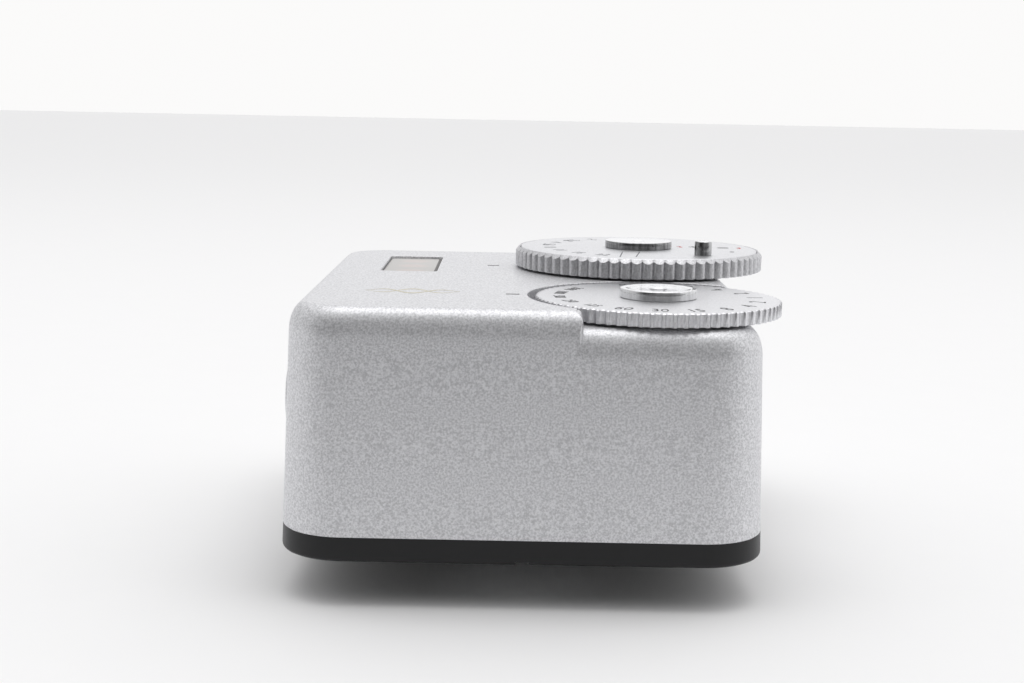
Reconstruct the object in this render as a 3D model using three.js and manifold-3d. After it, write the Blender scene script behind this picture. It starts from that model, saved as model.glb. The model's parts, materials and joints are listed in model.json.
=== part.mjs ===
// Two-dial exposure meter for a camera's accessory shoe.
// Millimetres, +Z up. +X is the side that faces the subject, -X the side that faces the user, and
// the origin is the centre of the underside of the shoe foot.
import * as THREE from 'three';
import { mergeVertices } from 'three/addons/utils/BufferGeometryUtils.js';
import Module from 'manifold-3d';

const wasm = await Module();
wasm.setup();

// ------------------------------------------------------------------ driving sizes
// Shoe foot: a standard accessory shoe takes it
const FOOT_WIDTH = 18.6;          // across the rails, along Y
const FOOT_LENGTH = 18;           // along the rails, X
const FOOT_THICKNESS = 1.9;
const FOOT_CHAMFER = 0.8;         // lead-in at the corners of the foot
const NECK_WIDTH = 12.4;          // between the lips of the rails
const NECK_HEIGHT = 1.7;          // room for the rails above the foot
const FOOT_SCREW_PITCH_X = 11;
const FOOT_SCREW_PITCH_Y = 6.6;

// Base plate
const BASE_THICKNESS = 1.95;
const BASE_EDGE = 0.35;           // chamfer round its underside
const LIP_HEIGHT = 1.15;          // ribs that locate the housing
const LIP_WIDTH = 0.8;
const LIP_LENGTH = 26;
const NOTCH_WIDTH = 1.25;         // thumbnail notch at the battery end
const NOTCH_HEIGHT = 0.25;
const NOTCH_DEPTH = 0.8;

// Housing, measured at its seam with the base plate
const BODY_WIDTH = 38;
const BODY_DEPTH = 47.2;
const BODY_HEIGHT = 19.65;        // underside of the base to the upper deck
const BODY_CORNER_R = 5.1;
const BODY_DRAFT = THREE.MathUtils.degToRad(1.8);
const BODY_EDGE_HEIGHT = 2.4;     // rounding round the top, taller than it is deep
const BODY_EDGE_DEPTH = 1.4;
const WALL = 1.2;
const DECK_STEP = 1.35;           // upper deck down to the deck of the shutter dial
const DECK_THICKNESS = 1.3;       // metal left under the lower deck
const POST_R = 2.3;               // screw posts in the corners
const POST_INSET = 3.55;          // from the outer faces to the middle of a post

// Dials
const DIAL_INSET_X = 8.2;         // outer face to both dial axes
const APERTURE_INSET_Y = 14.62;   // outer face to the aperture dial's axis
const APERTURE_R = 11.63;
const APERTURE_HEIGHT = 1.78;
const APERTURE_BEVEL = 0.37;      // bevel round the top of the ring
const SHUTTER_R = 10.02;
const SHUTTER_HEIGHT = 1.12;
const DIAL_SPACING = 0.11;        // daylight between the two rims
const DIAL_LIFT = 0.2;            // underside of a dial above its deck
const POCKET_GAP = 0.66;          // round the shutter dial
const POCKET_MOUTH = 6.48;        // dial axis to the straight wall of the pocket's mouth
const TEETH = 72;
const TOOTH_DEPTH = 0.24;
const PLATE_THICKNESS = 0.75;     // film speed plate in the aperture ring
const PLATE_RIM = 0.41;           // recess wall left round it
const PIN_R = 0.78;
const PIN_HEIGHT = 1.3;
const PIN_TAIL_R = 0.5;
const PIN_TAIL_LENGTH = 0.45;     // below the plate, in its groove
const PIN_ORBIT = 8.3;
const PIN_BEARING = THREE.MathUtils.degToRad(-49.3);
const PIN_TRAVEL = THREE.MathUtils.degToRad(62);
const CAP_R = 3.15;
const APERTURE_CAP_HEIGHT = 0.65;
const SHUTTER_CAP_HEIGHT = 0.75;
const CAP_DIMPLE_R = 0.6;

// Dial mechanism
const SHAFT_R = 1.5;
const BUSH_R = 2.5;
const BUSH_FLANGE_R = 3.8;
const BUSH_FLANGE_HEIGHT = 0.8;
const WASHER_R = 5.1;
const WASHER_THICKNESS = 0.5;
const CLIP_R = 2.6;
const CLIP_THICKNESS = 0.3;
const WIPER_R = 5;
const WIPER_THICKNESS = 0.5;
const WIPER_LIFT = 0.3;           // above the board
const WIPER_TAB_R = 6.3;
const WIPER_TAB_WIDTH = 1.6;
const STOP_R = 0.6;
const STOP_ORBIT = 5.85;
const STOP_PROUD = 0.5;           // above the wiper
const DETENT_ORBIT = 8;
const DETENT_BALL_R = 0.5;
const DETENT_PROUD = 0.12;        // ball above the deck
const DETENT_DEPTH = 1.9;         // bore below the deck
const DETENT_WALL = 0.9;          // of the boss round the bore
const DETENT_FLOOR = 0.4;         // of the boss under the bore
const DETENT_TURNS = 3;

// Battery: two button cells, one on the other
const CELL_R = 5.8;
const CELL_HEIGHT = 5.4;
const CELL_CRIMP = 0.35;
const BATTERY_MARGIN = 2;         // edge of the cover to the near face
const HOLDER_WALL = 0.4;
const HOLDER_FLANGE = 0.7;
const HOLDER_FLANGE_HEIGHT = 0.5;
const COVER_R = CELL_R + 0.3;
const COVER_THICKNESS = 1.15;
const COVER_LUG_R = COVER_R + 0.4;
const COVER_LUG_HEIGHT = 0.5;
const COVER_STEP = 0.5;           // the cover's upper part is this much smaller
const COVER_LUG_ANGLE = THREE.MathUtils.degToRad(40);
const COVER_TURN = THREE.MathUtils.degToRad(60);
const COIN_SLOT = [8, 1.3, 0.7];
const CONTACT_TIP_R = 2.2;        // where it presses on the upper cell
const CONTACT_R = 4.6;            // where it meets the board
const CONTACT_EYE_R = 1.5;
const CONTACT_THICKNESS = 0.3;

// Board and what stands on it
const BOARD_THICKNESS = 0.8;
const BOARD_GAP = 2;              // board's upper side to the inside of the deck
const BOARD_MARGIN = 0.9;         // to the walls
const STANDOFF_R = 1.6;
const LED_SIZE = [1.6, 2, 0.9];
const LED_PITCH = 4.3;
const CHIP_SIZE = [7, 7, 1];

// Read-out window in the upper deck
const WINDOW_INSET_X = 5.83;
const WINDOW_INSET_Y = 7.44;
const WINDOW_WIDTH = 5.08;
const WINDOW_LENGTH = 13.34;
const WINDOW_CORNER_R = 0.5;
const WINDOW_SINK = 0.25;         // below the deck
const WINDOW_FLANGE = 1;
const WINDOW_FLANGE_HEIGHT = 0.8;

// Light sensor, in the side that faces the subject
const SENSOR_Y = 4;
const SENSOR_Z = 9;
const LENS_R = 2.6;
const LENS_RIM = 0.45;            // height of its upright edge
const LENS_RISE = 0.35;           // of the dome over the edge
const LENS_SEAT = 0.4;            // bezel's ledge that it sits on
const LENS_LEDGE = 0.6;           // how far the ledge reaches under it
const BEZEL_R = 3.4;
const BEZEL_THICKNESS = 1.5;
const SENSOR_SIZE = [1.2, 4, 4];
const SENSOR_BOARD_THICKNESS = 0.8;

// Measuring button, in the side that faces the user
const BUTTON_INSET_Y = 11.6;
const BUTTON_Z = 10.8;
const BUTTON_R = 2.75;
const BUTTON_PROUD = 0.72;
const BUTTON_TRAVEL = 0.6;
const BUTTON_FLANGE_R = 3.25;
const BUTTON_FLANGE_SEAT = 0.25;  // flange behind the wall
const BUTTON_FLANGE_HEIGHT = 1;
const BUTTON_STEM_R = 0.9;
const BUTTON_STEM_LENGTH = 2.15;
const SWITCH_SIZE = [3, 6, 6];
const PLUNGER_R = 1.2;
const PLUNGER_LENGTH = 1.4;
const PLUNGER_PROUD = 0.3;        // out of the switch, when at rest
const BUTTON_SPRING_R = 1.75;
const BUTTON_SPRING_TURNS = 3;

// Screws and springs
const SCREW_R = 0.8;
const SCREW_HEAD_R = 1.6;
const SCREW_HEAD_HEIGHT = 0.9;
const SCREW_SLOT = 0.4;           // width and depth of the cross
const BASE_SCREW_LENGTH = 6;
const BOARD_SCREW_LENGTH = 2.2;
const WIRE_R = 0.14;              // of the button spring
const DETENT_WIRE_R = 0.08;

// Index marks let into the deck
const MARK_LENGTH = 1.08;
const MARK_WIDTH = 0.35;
const MARK_DEPTH = 0.15;
const APERTURE_MARK_OFFSET = 2.12; // from the dial's rim to the middle of its mark
const SHUTTER_MARK_OFFSET = 1.19;  // from the dial's pocket to the middle of its mark

// Clearances
const SEAT = 0.1;                 // round a piece that seats in another
const RUN = 0.08;                 // round a piece that turns or slides
const FACE_GAP = 0.03;            // between faces that touch

// ------------------------------------------------------------------ sizes and places that follow
const LOWER_DECK = BODY_HEIGHT - DECK_STEP;
const ROOF = LOWER_DECK - DECK_THICKNESS;
const BOARD_TOP = ROOF - BOARD_GAP;
const BOARD_BOTTOM = BOARD_TOP - BOARD_THICKNESS;
const FOOT_DROP = FOOT_THICKNESS + NECK_HEIGHT;
const DIAL_X = BODY_WIDTH / 2 - DIAL_INSET_X;
const APERTURE_Y = BODY_DEPTH / 2 - APERTURE_INSET_Y;
const SHUTTER_Y = APERTURE_Y - APERTURE_R - SHUTTER_R - DIAL_SPACING;
const BATTERY_Y = BATTERY_MARGIN + COVER_R - BODY_DEPTH / 2;
const FOOT_Y = BATTERY_Y + COVER_R + SEAT + FOOT_WIDTH / 2;   // the foot clears the battery cover
const BUTTON_Y = BUTTON_INSET_Y - BODY_DEPTH / 2;

// ------------------------------------------------------------------ shape helpers
// A closed mesh as a solid that can be cut and joined
function solid(geometry) {
  geometry.deleteAttribute('normal');
  geometry.deleteAttribute('uv');
  const welded = mergeVertices(geometry, 1e-5);
  const index = welded.index.array;
  const faces = [];
  for (let i = 0; i < index.length; i += 3) {
    const [a, b, c] = [index[i], index[i + 1], index[i + 2]];
    if (a !== b && b !== c && c !== a) faces.push(a, b, c);
  }
  return new wasm.Manifold(new wasm.Mesh({
    numProp: 3,
    vertProperties: new Float32Array(welded.attributes.position.array),
    triVerts: new Uint32Array(faces),
  }));
}

function box(x0, x1, y0, y1, z0, z1) {
  const geometry = new THREE.BoxGeometry(x1 - x0, y1 - y0, z1 - z0);
  return solid(geometry.translate((x0 + x1) / 2, (y0 + y1) / 2, (z0 + z1) / 2));
}

// A box on a centre line, with its size as [x, y, z] and its underside at z0
function block([dx, dy, dz], x, y, z0) {
  return box(x - dx / 2, x + dx / 2, y - dy / 2, y + dy / 2, z0, z0 + dz);
}

function cylinder(radius, z0, z1, x = 0, y = 0, sides = 20) {
  const geometry = new THREE.CylinderGeometry(radius, radius, z1 - z0, sides);
  return solid(geometry.rotateX(Math.PI / 2).translate(x, y, (z0 + z1) / 2));
}

// A turned piece: profile points are [radius, height], up the outside
function turned(profile, sides = 20) {
  const points = profile.map(([r, z]) => new THREE.Vector2(r, z));
  return solid(new THREE.LatheGeometry(points, sides).rotateX(Math.PI / 2));
}

function tube(inner, outer, z0, z1, sides = 20) {
  return turned([[inner, z0], [outer, z0], [outer, z1], [inner, z1], [inner, z0]], sides);
}

function prism(shape, z0, z1, curveSegments = 6) {
  const geometry = new THREE.ExtrudeGeometry(shape, { depth: z1 - z0, bevelEnabled: false, curveSegments });
  return solid(geometry.translate(0, 0, z0));
}

// A ring sector between two radii, about a bearing
function sector(inner, outer, bearing, halfAngle, z0, z1) {
  const shape = new THREE.Shape();
  shape.absarc(0, 0, outer, bearing - halfAngle, bearing + halfAngle, false);
  shape.absarc(0, 0, inner, bearing + halfAngle, bearing - halfAngle, true);
  return prism(shape, z0, z1, 6);
}

function roundedRectangle(width, length, radius) {
  const [x, y] = [width / 2, length / 2];
  const shape = new THREE.Shape();
  shape.absarc(x - radius, y - radius, radius, 0, Math.PI / 2, false);
  shape.absarc(radius - x, y - radius, radius, Math.PI / 2, Math.PI, false);
  shape.absarc(radius - x, radius - y, radius, Math.PI, Math.PI * 1.5, false);
  shape.absarc(x - radius, radius - y, radius, Math.PI * 1.5, Math.PI * 2, false);
  return shape;
}

// The housing's outline at one height, drawn in by an inset, as a ring of points
function bodyRing(inset, z) {
  const steps = 6;
  const radius = BODY_CORNER_R - inset;
  const [x, y] = [BODY_WIDTH / 2 - BODY_CORNER_R, BODY_DEPTH / 2 - BODY_CORNER_R];
  const ring = [];
  [[1, 1], [-1, 1], [-1, -1], [1, -1]].forEach(([sx, sy], corner) => {
    for (let i = 0; i <= steps; i++) {
      const angle = (corner + i / steps) * Math.PI / 2;
      ring.push([sx * x + radius * Math.cos(angle), sy * y + radius * Math.sin(angle), z]);
    }
  });
  return ring;
}

// A closed skin over a stack of rings, lowest first
function loft(rings) {
  const count = rings[0].length;
  const index = [];
  for (let level = 0; level + 1 < rings.length; level++) {
    for (let i = 0; i < count; i++) {
      const [a, b] = [level * count + i, level * count + (i + 1) % count];
      index.push(a, b, b + count, a, b + count, a + count);
    }
  }
  const top = (rings.length - 1) * count;
  for (let i = 1; i + 1 < count; i++) {
    index.push(0, i + 1, i, top, top + i, top + i + 1);
  }
  const geometry = new THREE.BufferGeometry();
  geometry.setAttribute('position', new THREE.Float32BufferAttribute(rings.flat(2), 3));
  geometry.setIndex(index);
  return solid(geometry);
}

// How far the drafted wall has come in at a height above the seam
const draftAt = (z) => (z - BASE_THICKNESS) * Math.tan(BODY_DRAFT);

// Rings that round the block's upper edge over to a deck
function roundedTop(deck) {
  const steps = 6;
  const start = deck - BODY_EDGE_HEIGHT;
  return Array.from({ length: steps + 1 }, (_, i) => {
    const angle = i / steps * Math.PI / 2;
    const inset = draftAt(start) + BODY_EDGE_DEPTH * (1 - Math.cos(angle));
    return bodyRing(inset, start + BODY_EDGE_HEIGHT * Math.sin(angle));
  });
}

const mirrored = (x, y) => [[x, y], [-x, y], [-x, -y], [x, -y]];

// Turns a piece made about +Z to lie along +X, from a point
const alongX = (piece, x, y, z) => piece.rotate([0, 90, 0]).translate([x, y, z]);

// A toothed rim: lands with a groove between each pair, as an outline
function toothedOutline(radius, landShare, depth) {
  const shape = new THREE.Shape();
  const pitch = 2 * Math.PI / TEETH;
  const half = pitch * landShare / 2;
  for (let i = 0; i < TEETH; i++) {
    const tooth = [[-half, radius], [half, radius], [pitch / 2, radius - depth]];
    tooth.forEach(([offset, r], corner) => {
      const angle = i * pitch + offset;
      const point = [r * Math.cos(angle), r * Math.sin(angle)];
      if (i + corner) shape.lineTo(...point);
      else shape.moveTo(...point);
    });
  }
  return shape;
}

// A helical spring standing on z0
function coil(radius, wire, z0, z1, turns) {
  class Helix extends THREE.Curve {
    getPoint(t) {
      const angle = t * turns * 2 * Math.PI;
      const rise = z0 + wire + t * (z1 - z0 - 2 * wire);
      return new THREE.Vector3(radius * Math.cos(angle), radius * Math.sin(angle), rise);
    }
  }
  const section = new THREE.Shape();
  section.absarc(0, 0, wire, 0, 2 * Math.PI, false);
  const path = { extrudePath: new Helix(), steps: turns * 8, curveSegments: 2 };
  return solid(new THREE.ExtrudeGeometry(section, { ...path, bevelEnabled: false }));
}

// A screw with its head at the bottom
function screw(length, x, y, z0) {
  const neck = SCREW_HEAD_HEIGHT;
  const piece = turned([[0, 0], [SCREW_HEAD_R, 0], [SCREW_HEAD_R, neck * 0.4], [SCREW_R, neck],
    [SCREW_R, length], [0, length]], 10);
  const slotLength = SCREW_HEAD_R * 1.4;
  const slot = block([slotLength, SCREW_SLOT, SCREW_SLOT], 0, 0, 0);
  const crossSlot = block([SCREW_SLOT, slotLength, SCREW_SLOT], 0, 0, 0);
  return piece.subtract(slot).subtract(crossSlot).translate([x, y, z0]);
}

// The hole that a screw goes through, and the sink for its head
function screwHole(length, x, y, z0) {
  const head = cylinder(SCREW_HEAD_R + SEAT, z0 - 1, z0 + SCREW_HEAD_HEIGHT, x, y, 12);
  return head.add(cylinder(SCREW_R + SEAT, z0, z0 + length, x, y, 12));
}

// ------------------------------------------------------------------ finishes
const finish = (color, roughness, metalness, extra = {}) => ({ color, roughness, metalness, ...extra });
const SILVER_PAINT = finish(0xb4b5b8, 0.42, 0.55);
const SATIN_ALLOY = finish(0xc2c3c6, 0.36, 0.85);
const CHROME = finish(0xe0e2e4, 0.1, 1);
const STEEL = finish(0xa4a6aa, 0.32, 0.95);
const BRASS = finish(0xb8974c, 0.35, 0.95);
const BLACK_PLASTIC = finish(0x242426, 0.5, 0);
const BLACK_FIBRE = finish(0x18181a, 0.85, 0);
const BLACK_PAINT = finish(0x1a1a1c, 0.6, 0);
const DIFFUSER = finish(0xcfcac6, 0.4, 0, { transparent: true, opacity: 0.85 });
const GLASS = finish(0xdfe6ea, 0.05, 0, { transparent: true, opacity: 0.4 });
const BOARD_GREEN = finish(0x1f4a35, 0.5, 0);
const CHIP_BLACK = finish(0x202124, 0.55, 0);
const LED_EPOXY = finish(0xe8c9c2, 0.3, 0);

const group = new THREE.Group();
const meter = new THREE.Group();     // everything above the shoe foot, from the base's underside up
meter.position.set(0, -FOOT_Y, FOOT_DROP);
group.add(meter);

function addPiece(parent, name, piece, look) {
  const { vertProperties, triVerts } = piece.getMesh();
  const geometry = new THREE.BufferGeometry();
  geometry.setAttribute('position', new THREE.BufferAttribute(new Float32Array(vertProperties), 3));
  geometry.setIndex(Array.from(triVerts));
  geometry.computeVertexNormals();
  const mesh = new THREE.Mesh(geometry, new THREE.MeshStandardMaterial(look));
  mesh.name = name;
  parent.add(mesh);
}
const add = (name, piece, look) => addPiece(meter, name, piece, look);

// ------------------------------------------------------------------ places shared by several pieces
const basePosts = mirrored(BODY_WIDTH / 2 - POST_INSET, BODY_DEPTH / 2 - POST_INSET);
const footScrews = mirrored(FOOT_SCREW_PITCH_X / 2, FOOT_SCREW_PITCH_Y / 2);
const windowX = WINDOW_INSET_X + WINDOW_WIDTH / 2 - BODY_WIDTH / 2;
const windowY = BODY_DEPTH / 2 - WINDOW_INSET_Y - WINDOW_LENGTH / 2;
const boardHalfX = BODY_WIDTH / 2 - draftAt(BOARD_TOP) - WALL - BOARD_MARGIN;
const boardHalfY = BODY_DEPTH / 2 - draftAt(BOARD_TOP) - WALL - BOARD_MARGIN;
const standoffX = windowX + WINDOW_WIDTH / 2 + WINDOW_FLANGE + STANDOFF_R + SEAT;
const standoffs = [[standoffX, boardHalfY - STANDOFF_R], [standoffX, APERTURE_Y - APERTURE_R + STANDOFF_R]];
const buttonFaceX = -(BODY_WIDTH / 2 - draftAt(BUTTON_Z));
const buttonInsideX = buttonFaceX + WALL + BUTTON_FLANGE_SEAT;
const sensorFaceX = BODY_WIDTH / 2 - draftAt(SENSOR_Z);

// The two dials, and what differs between them
const dials = [
  { name: 'aperture', y: APERTURE_Y, deck: BODY_HEIGHT, height: APERTURE_HEIGHT, cap: APERTURE_CAP_HEIGHT },
  { name: 'shutter', y: SHUTTER_Y, deck: LOWER_DECK, height: SHUTTER_HEIGHT, cap: SHUTTER_CAP_HEIGHT },
];
for (const dial of dials) {
  dial.bottom = dial.deck + DIAL_LIFT;
  dial.top = dial.bottom + dial.height;
}
const marks = [
  { name: 'aperture', x: DIAL_X - APERTURE_R - APERTURE_MARK_OFFSET, y: APERTURE_Y },
  { name: 'shutter', x: DIAL_X - SHUTTER_R - POCKET_GAP - SHUTTER_MARK_OFFSET, y: SHUTTER_Y },
];

// ------------------------------------------------------------------ housing
// The room that a dial's wiper turns in, over the board
const wiperSweep = ({ y }) => cylinder(WIPER_TAB_R + FACE_GAP, BOARD_TOP, ROOF, DIAL_X, y, 40);

function topHousing() {
  let body = loft([bodyRing(0, BASE_THICKNESS), ...roundedTop(BODY_HEIGHT)]);

  // Pocket for the shutter dial: a circle that opens to the near face, with a rounded deck in it
  const pocketFloor = LOWER_DECK - BODY_EDGE_HEIGHT;
  const above = BODY_HEIGHT + 1;
  const mouth = box(DIAL_X - POCKET_MOUTH, BODY_WIDTH, -BODY_DEPTH, SHUTTER_Y, pocketFloor, above);
  const pocket = cylinder(SHUTTER_R + POCKET_GAP, pocketFloor, above, DIAL_X, SHUTTER_Y, 60).add(mouth);
  const lowerDeck = loft([bodyRing(WALL / 2, pocketFloor - 1), ...roundedTop(LOWER_DECK)]);
  body = body.subtract(pocket).add(lowerDeck);

  const below = BASE_THICKNESS - 1;
  let inside = loft([bodyRing(WALL + draftAt(below), below), bodyRing(WALL + draftAt(ROOF), ROOF)]);
  for (const [x, y] of basePosts) {
    let post = cylinder(POST_R, BASE_THICKNESS, ROOF, x, y, 12);
    for (const dial of dials) post = post.subtract(wiperSweep(dial));
    inside = inside.subtract(post);
  }
  for (const [x, y] of standoffs) inside = inside.subtract(cylinder(STANDOFF_R, BOARD_TOP, ROOF, x, y, 12));
  for (const { y, deck } of dials) {
    const bossBottom = deck - DETENT_DEPTH - DETENT_FLOOR;
    const boss = cylinder(DETENT_BALL_R + DETENT_WALL, bossBottom, ROOF + 1, DIAL_X - DETENT_ORBIT, y, 12);
    inside = inside.subtract(boss);
  }
  body = body.subtract(inside);

  for (const { y, deck } of dials) {
    body = body.subtract(cylinder(BUSH_R + SEAT, ROOF - 1, above, DIAL_X, y));
    body = body.subtract(cylinder(WASHER_R + SEAT, deck - WASHER_THICKNESS, above, DIAL_X, y, 24));
    const bore = [deck - DETENT_DEPTH, above, DIAL_X - DETENT_ORBIT, y, 12];
    body = body.subtract(cylinder(DETENT_BALL_R + RUN, ...bore));
  }
  for (const { x, y } of marks) {
    const size = [MARK_LENGTH + SEAT, MARK_WIDTH + SEAT, 1];
    body = body.subtract(block(size, x, y, BODY_HEIGHT - MARK_DEPTH));
  }
  const opening = roundedRectangle(WINDOW_WIDTH + SEAT, WINDOW_LENGTH + SEAT, WINDOW_CORNER_R);
  body = body.subtract(prism(opening, ROOF - 1, above).translate([windowX, windowY, 0]));
  for (const [x, y] of basePosts) {
    body = body.subtract(cylinder(SCREW_R + SEAT, below, BASE_SCREW_LENGTH + 1, x, y, 12));
  }
  for (const [x, y] of standoffs) {
    body = body.subtract(cylinder(SCREW_R + SEAT, BOARD_TOP - 1, BOARD_TOP + BOARD_SCREW_LENGTH, x, y, 12));
  }
  const buttonHole = cylinder(BUTTON_R + RUN, -3, 3);
  body = body.subtract(alongX(buttonHole, buttonFaceX, BUTTON_Y, BUTTON_Z));
  const sensorHole = cylinder(BEZEL_R + SEAT, -3, 3);
  return body.subtract(alongX(sensorHole, sensorFaceX, SENSOR_Y, SENSOR_Z));
}
add('top_housing', topHousing(), SILVER_PAINT);

for (const { name, x, y } of marks) {
  const inlay = block([MARK_LENGTH, MARK_WIDTH, MARK_DEPTH], x, y, BODY_HEIGHT - MARK_DEPTH);
  add(`${name}_index_mark`, inlay, BLACK_PAINT);
}

// ------------------------------------------------------------------ base plate
function basePlate() {
  const edge = [bodyRing(BASE_EDGE, 0), bodyRing(draftAt(BASE_EDGE), BASE_EDGE)];
  let plate = loft([...edge, bodyRing(0, BASE_THICKNESS)]);
  const lipX = BODY_WIDTH / 2 - WALL - draftAt(BASE_THICKNESS + LIP_HEIGHT) - SEAT - LIP_WIDTH / 2;
  for (const x of [lipX, -lipX]) {
    const lip = block([LIP_WIDTH, LIP_LENGTH, LIP_HEIGHT + 0.5], x, 0, BASE_THICKNESS - 0.5);
    plate = plate.add(lip);
  }
  for (const [x, y] of basePosts) plate = plate.subtract(screwHole(BASE_THICKNESS + 1, x, y, 0));
  for (const [x, y] of footScrews) {
    plate = plate.subtract(cylinder(SCREW_R + SEAT, -1, BASE_THICKNESS + 1, x, y + FOOT_Y, 12));
  }
  // Battery hole: two notches let the cover's lugs up, and a ledge holds them once it is turned
  const ledge = COVER_THICKNESS - SEAT / 2;
  let hole = cylinder(COVER_R + RUN, -1, BASE_THICKNESS + 1, 0, 0, 24);
  hole = hole.add(cylinder(COVER_LUG_R + RUN, ledge, BASE_THICKNESS + 1, 0, 0, 24));
  for (const bearing of [-COVER_TURN, Math.PI - COVER_TURN]) {
    const halfAngle = COVER_LUG_ANGLE / 2 + 0.05;
    hole = hole.add(sector(COVER_R - 1, COVER_LUG_R + RUN, bearing, halfAngle, -1, BASE_THICKNESS));
  }
  plate = plate.subtract(hole.translate([0, BATTERY_Y, 0]));

  const notch = new THREE.Shape();
  notch.moveTo(-NOTCH_WIDTH / 2, -NOTCH_HEIGHT);
  notch.lineTo(NOTCH_WIDTH / 2, -NOTCH_HEIGHT);
  notch.lineTo(0, NOTCH_HEIGHT);
  const cut = prism(notch, 0, NOTCH_DEPTH + BASE_EDGE).rotate([90, 0, 0]);
  return plate.subtract(cut.translate([0, NOTCH_DEPTH + BASE_EDGE - BODY_DEPTH / 2, 0]));
}
add('base_plate', basePlate(), BLACK_PLASTIC);
basePosts.forEach(([x, y], i) => add(`base_screw_${i + 1}`, screw(BASE_SCREW_LENGTH, x, y, 0), STEEL));

// ------------------------------------------------------------------ shoe foot
function shoeFoot() {
  const shape = new THREE.Shape();
  const [x, y] = [FOOT_LENGTH / 2, FOOT_WIDTH / 2];
  const [a, b] = [x - FOOT_CHAMFER, y - FOOT_CHAMFER];
  const corners = [[x, b], [a, y], [-a, y], [-x, b], [-x, -b], [-a, -y], [a, -y], [x, -b]];
  corners.forEach((point, i) => (i ? shape.lineTo(...point) : shape.moveTo(...point)));
  let foot = prism(shape, 0, FOOT_THICKNESS);
  for (const [sx, sy] of footScrews) foot = foot.subtract(screwHole(FOOT_THICKNESS + 1, sx, sy, 0));
  return foot;
}
let neck = block([FOOT_LENGTH, NECK_WIDTH, NECK_HEIGHT], 0, 0, FOOT_THICKNESS);
for (const [x, y] of footScrews) {
  neck = neck.subtract(cylinder(SCREW_R + SEAT, FOOT_THICKNESS - 1, FOOT_DROP + 1, x, y, 12));
}
addPiece(group, 'shoe_foot', shoeFoot(), STEEL);
addPiece(group, 'shoe_neck', neck, STEEL);
const footScrewLength = FOOT_DROP + BASE_THICKNESS;
footScrews.forEach(([x, y], i) => {
  addPiece(group, `foot_screw_${i + 1}`, screw(footScrewLength, x, y, 0), STEEL);
});

// ------------------------------------------------------------------ battery
const cellBottom = COVER_THICKNESS + COVER_LUG_HEIGHT + SEAT;
const atBattery = (piece) => piece.translate([0, BATTERY_Y, 0]);
function batteryCover() {
  let cover = cylinder(COVER_R, 0, COVER_THICKNESS, 0, 0, 24);
  cover = cover.add(cylinder(COVER_R - COVER_STEP, 0, COVER_THICKNESS + COVER_LUG_HEIGHT, 0, 0, 24));
  for (const bearing of [0, Math.PI]) {
    const heights = [COVER_THICKNESS, COVER_THICKNESS + COVER_LUG_HEIGHT];
    cover = cover.add(sector(COVER_R - 1, COVER_LUG_R, bearing, COVER_LUG_ANGLE / 2, ...heights));
  }
  return cover.subtract(block([COIN_SLOT[0], COIN_SLOT[1], COIN_SLOT[2] + 1], 0, 0, -1));
}
add('battery_cover', atBattery(batteryCover()), STEEL);

const holderInner = CELL_R + SEAT;
const holderOuter = holderInner + HOLDER_WALL;
const holderTop = cellBottom + 2 * CELL_HEIGHT;
const flangeTop = BASE_THICKNESS + HOLDER_FLANGE_HEIGHT;
let holder = turned([[holderInner, BASE_THICKNESS], [holderOuter + HOLDER_FLANGE, BASE_THICKNESS],
  [holderOuter + HOLDER_FLANGE, flangeTop], [holderOuter, flangeTop],
  [holderOuter, holderTop], [holderInner, holderTop], [holderInner, BASE_THICKNESS]], 24);
const nearWall = WALL + SEAT + draftAt(flangeTop) - BODY_DEPTH / 2;
holder = atBattery(holder);
holder = holder.subtract(box(-BODY_WIDTH, BODY_WIDTH, -BODY_DEPTH, nearWall, 0, flangeTop + SEAT));
add('battery_holder', holder, BLACK_PLASTIC);

['lower', 'upper'].forEach((place, i) => {
  const z = cellBottom + i * CELL_HEIGHT;
  const top = z + CELL_HEIGHT;
  const cell = turned([[0, z], [CELL_R - CELL_CRIMP, z], [CELL_R, z + CELL_CRIMP],
    [CELL_R, top - CELL_CRIMP], [CELL_R - 2 * CELL_CRIMP, top], [0, top]], 24);
  add(`${place}_cell`, atBattery(cell), CHROME);
});
const contactRim = BOARD_BOTTOM - CONTACT_THICKNESS * 2 / 3;
const contact = turned([[CONTACT_EYE_R, holderTop], [CONTACT_TIP_R, holderTop], [CONTACT_R, contactRim],
  [CONTACT_R, BOARD_BOTTOM], [CONTACT_R - 2 * CONTACT_THICKNESS, BOARD_BOTTOM],
  [CONTACT_EYE_R, holderTop + CONTACT_THICKNESS], [CONTACT_EYE_R, holderTop]], 16);
add('battery_contact', atBattery(contact), BRASS);

// ------------------------------------------------------------------ board, lamps and window
function circuitBoard() {
  const shape = new THREE.Shape();
  const clear = POST_INSET + POST_R + SEAT;
  const [x, y] = [BODY_WIDTH / 2 - clear, BODY_DEPTH / 2 - clear];
  const [a, b] = [boardHalfX, boardHalfY];
  const corners = [[a, y], [x, y], [x, b], [-x, b], [-x, y], [-a, y],
    [-a, -y], [-x, -y], [-x, -b], [x, -b], [x, -y], [a, -y]];
  corners.forEach((point, i) => (i ? shape.lineTo(...point) : shape.moveTo(...point)));
  let board = prism(shape, BOARD_BOTTOM, BOARD_TOP);
  for (const [sx, sy] of standoffs) {
    board = board.subtract(cylinder(SCREW_R + SEAT, BOARD_BOTTOM - 1, BOARD_TOP + 1, sx, sy, 12));
  }
  return board;
}
add('circuit_board', circuitBoard(), BOARD_GREEN);
standoffs.forEach(([x, y], i) => {
  const length = SCREW_HEAD_HEIGHT + BOARD_THICKNESS + BOARD_SCREW_LENGTH - SEAT;
  add(`board_screw_${i + 1}`, screw(length, x, y, BOARD_BOTTOM - SCREW_HEAD_HEIGHT), STEEL);
});
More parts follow.
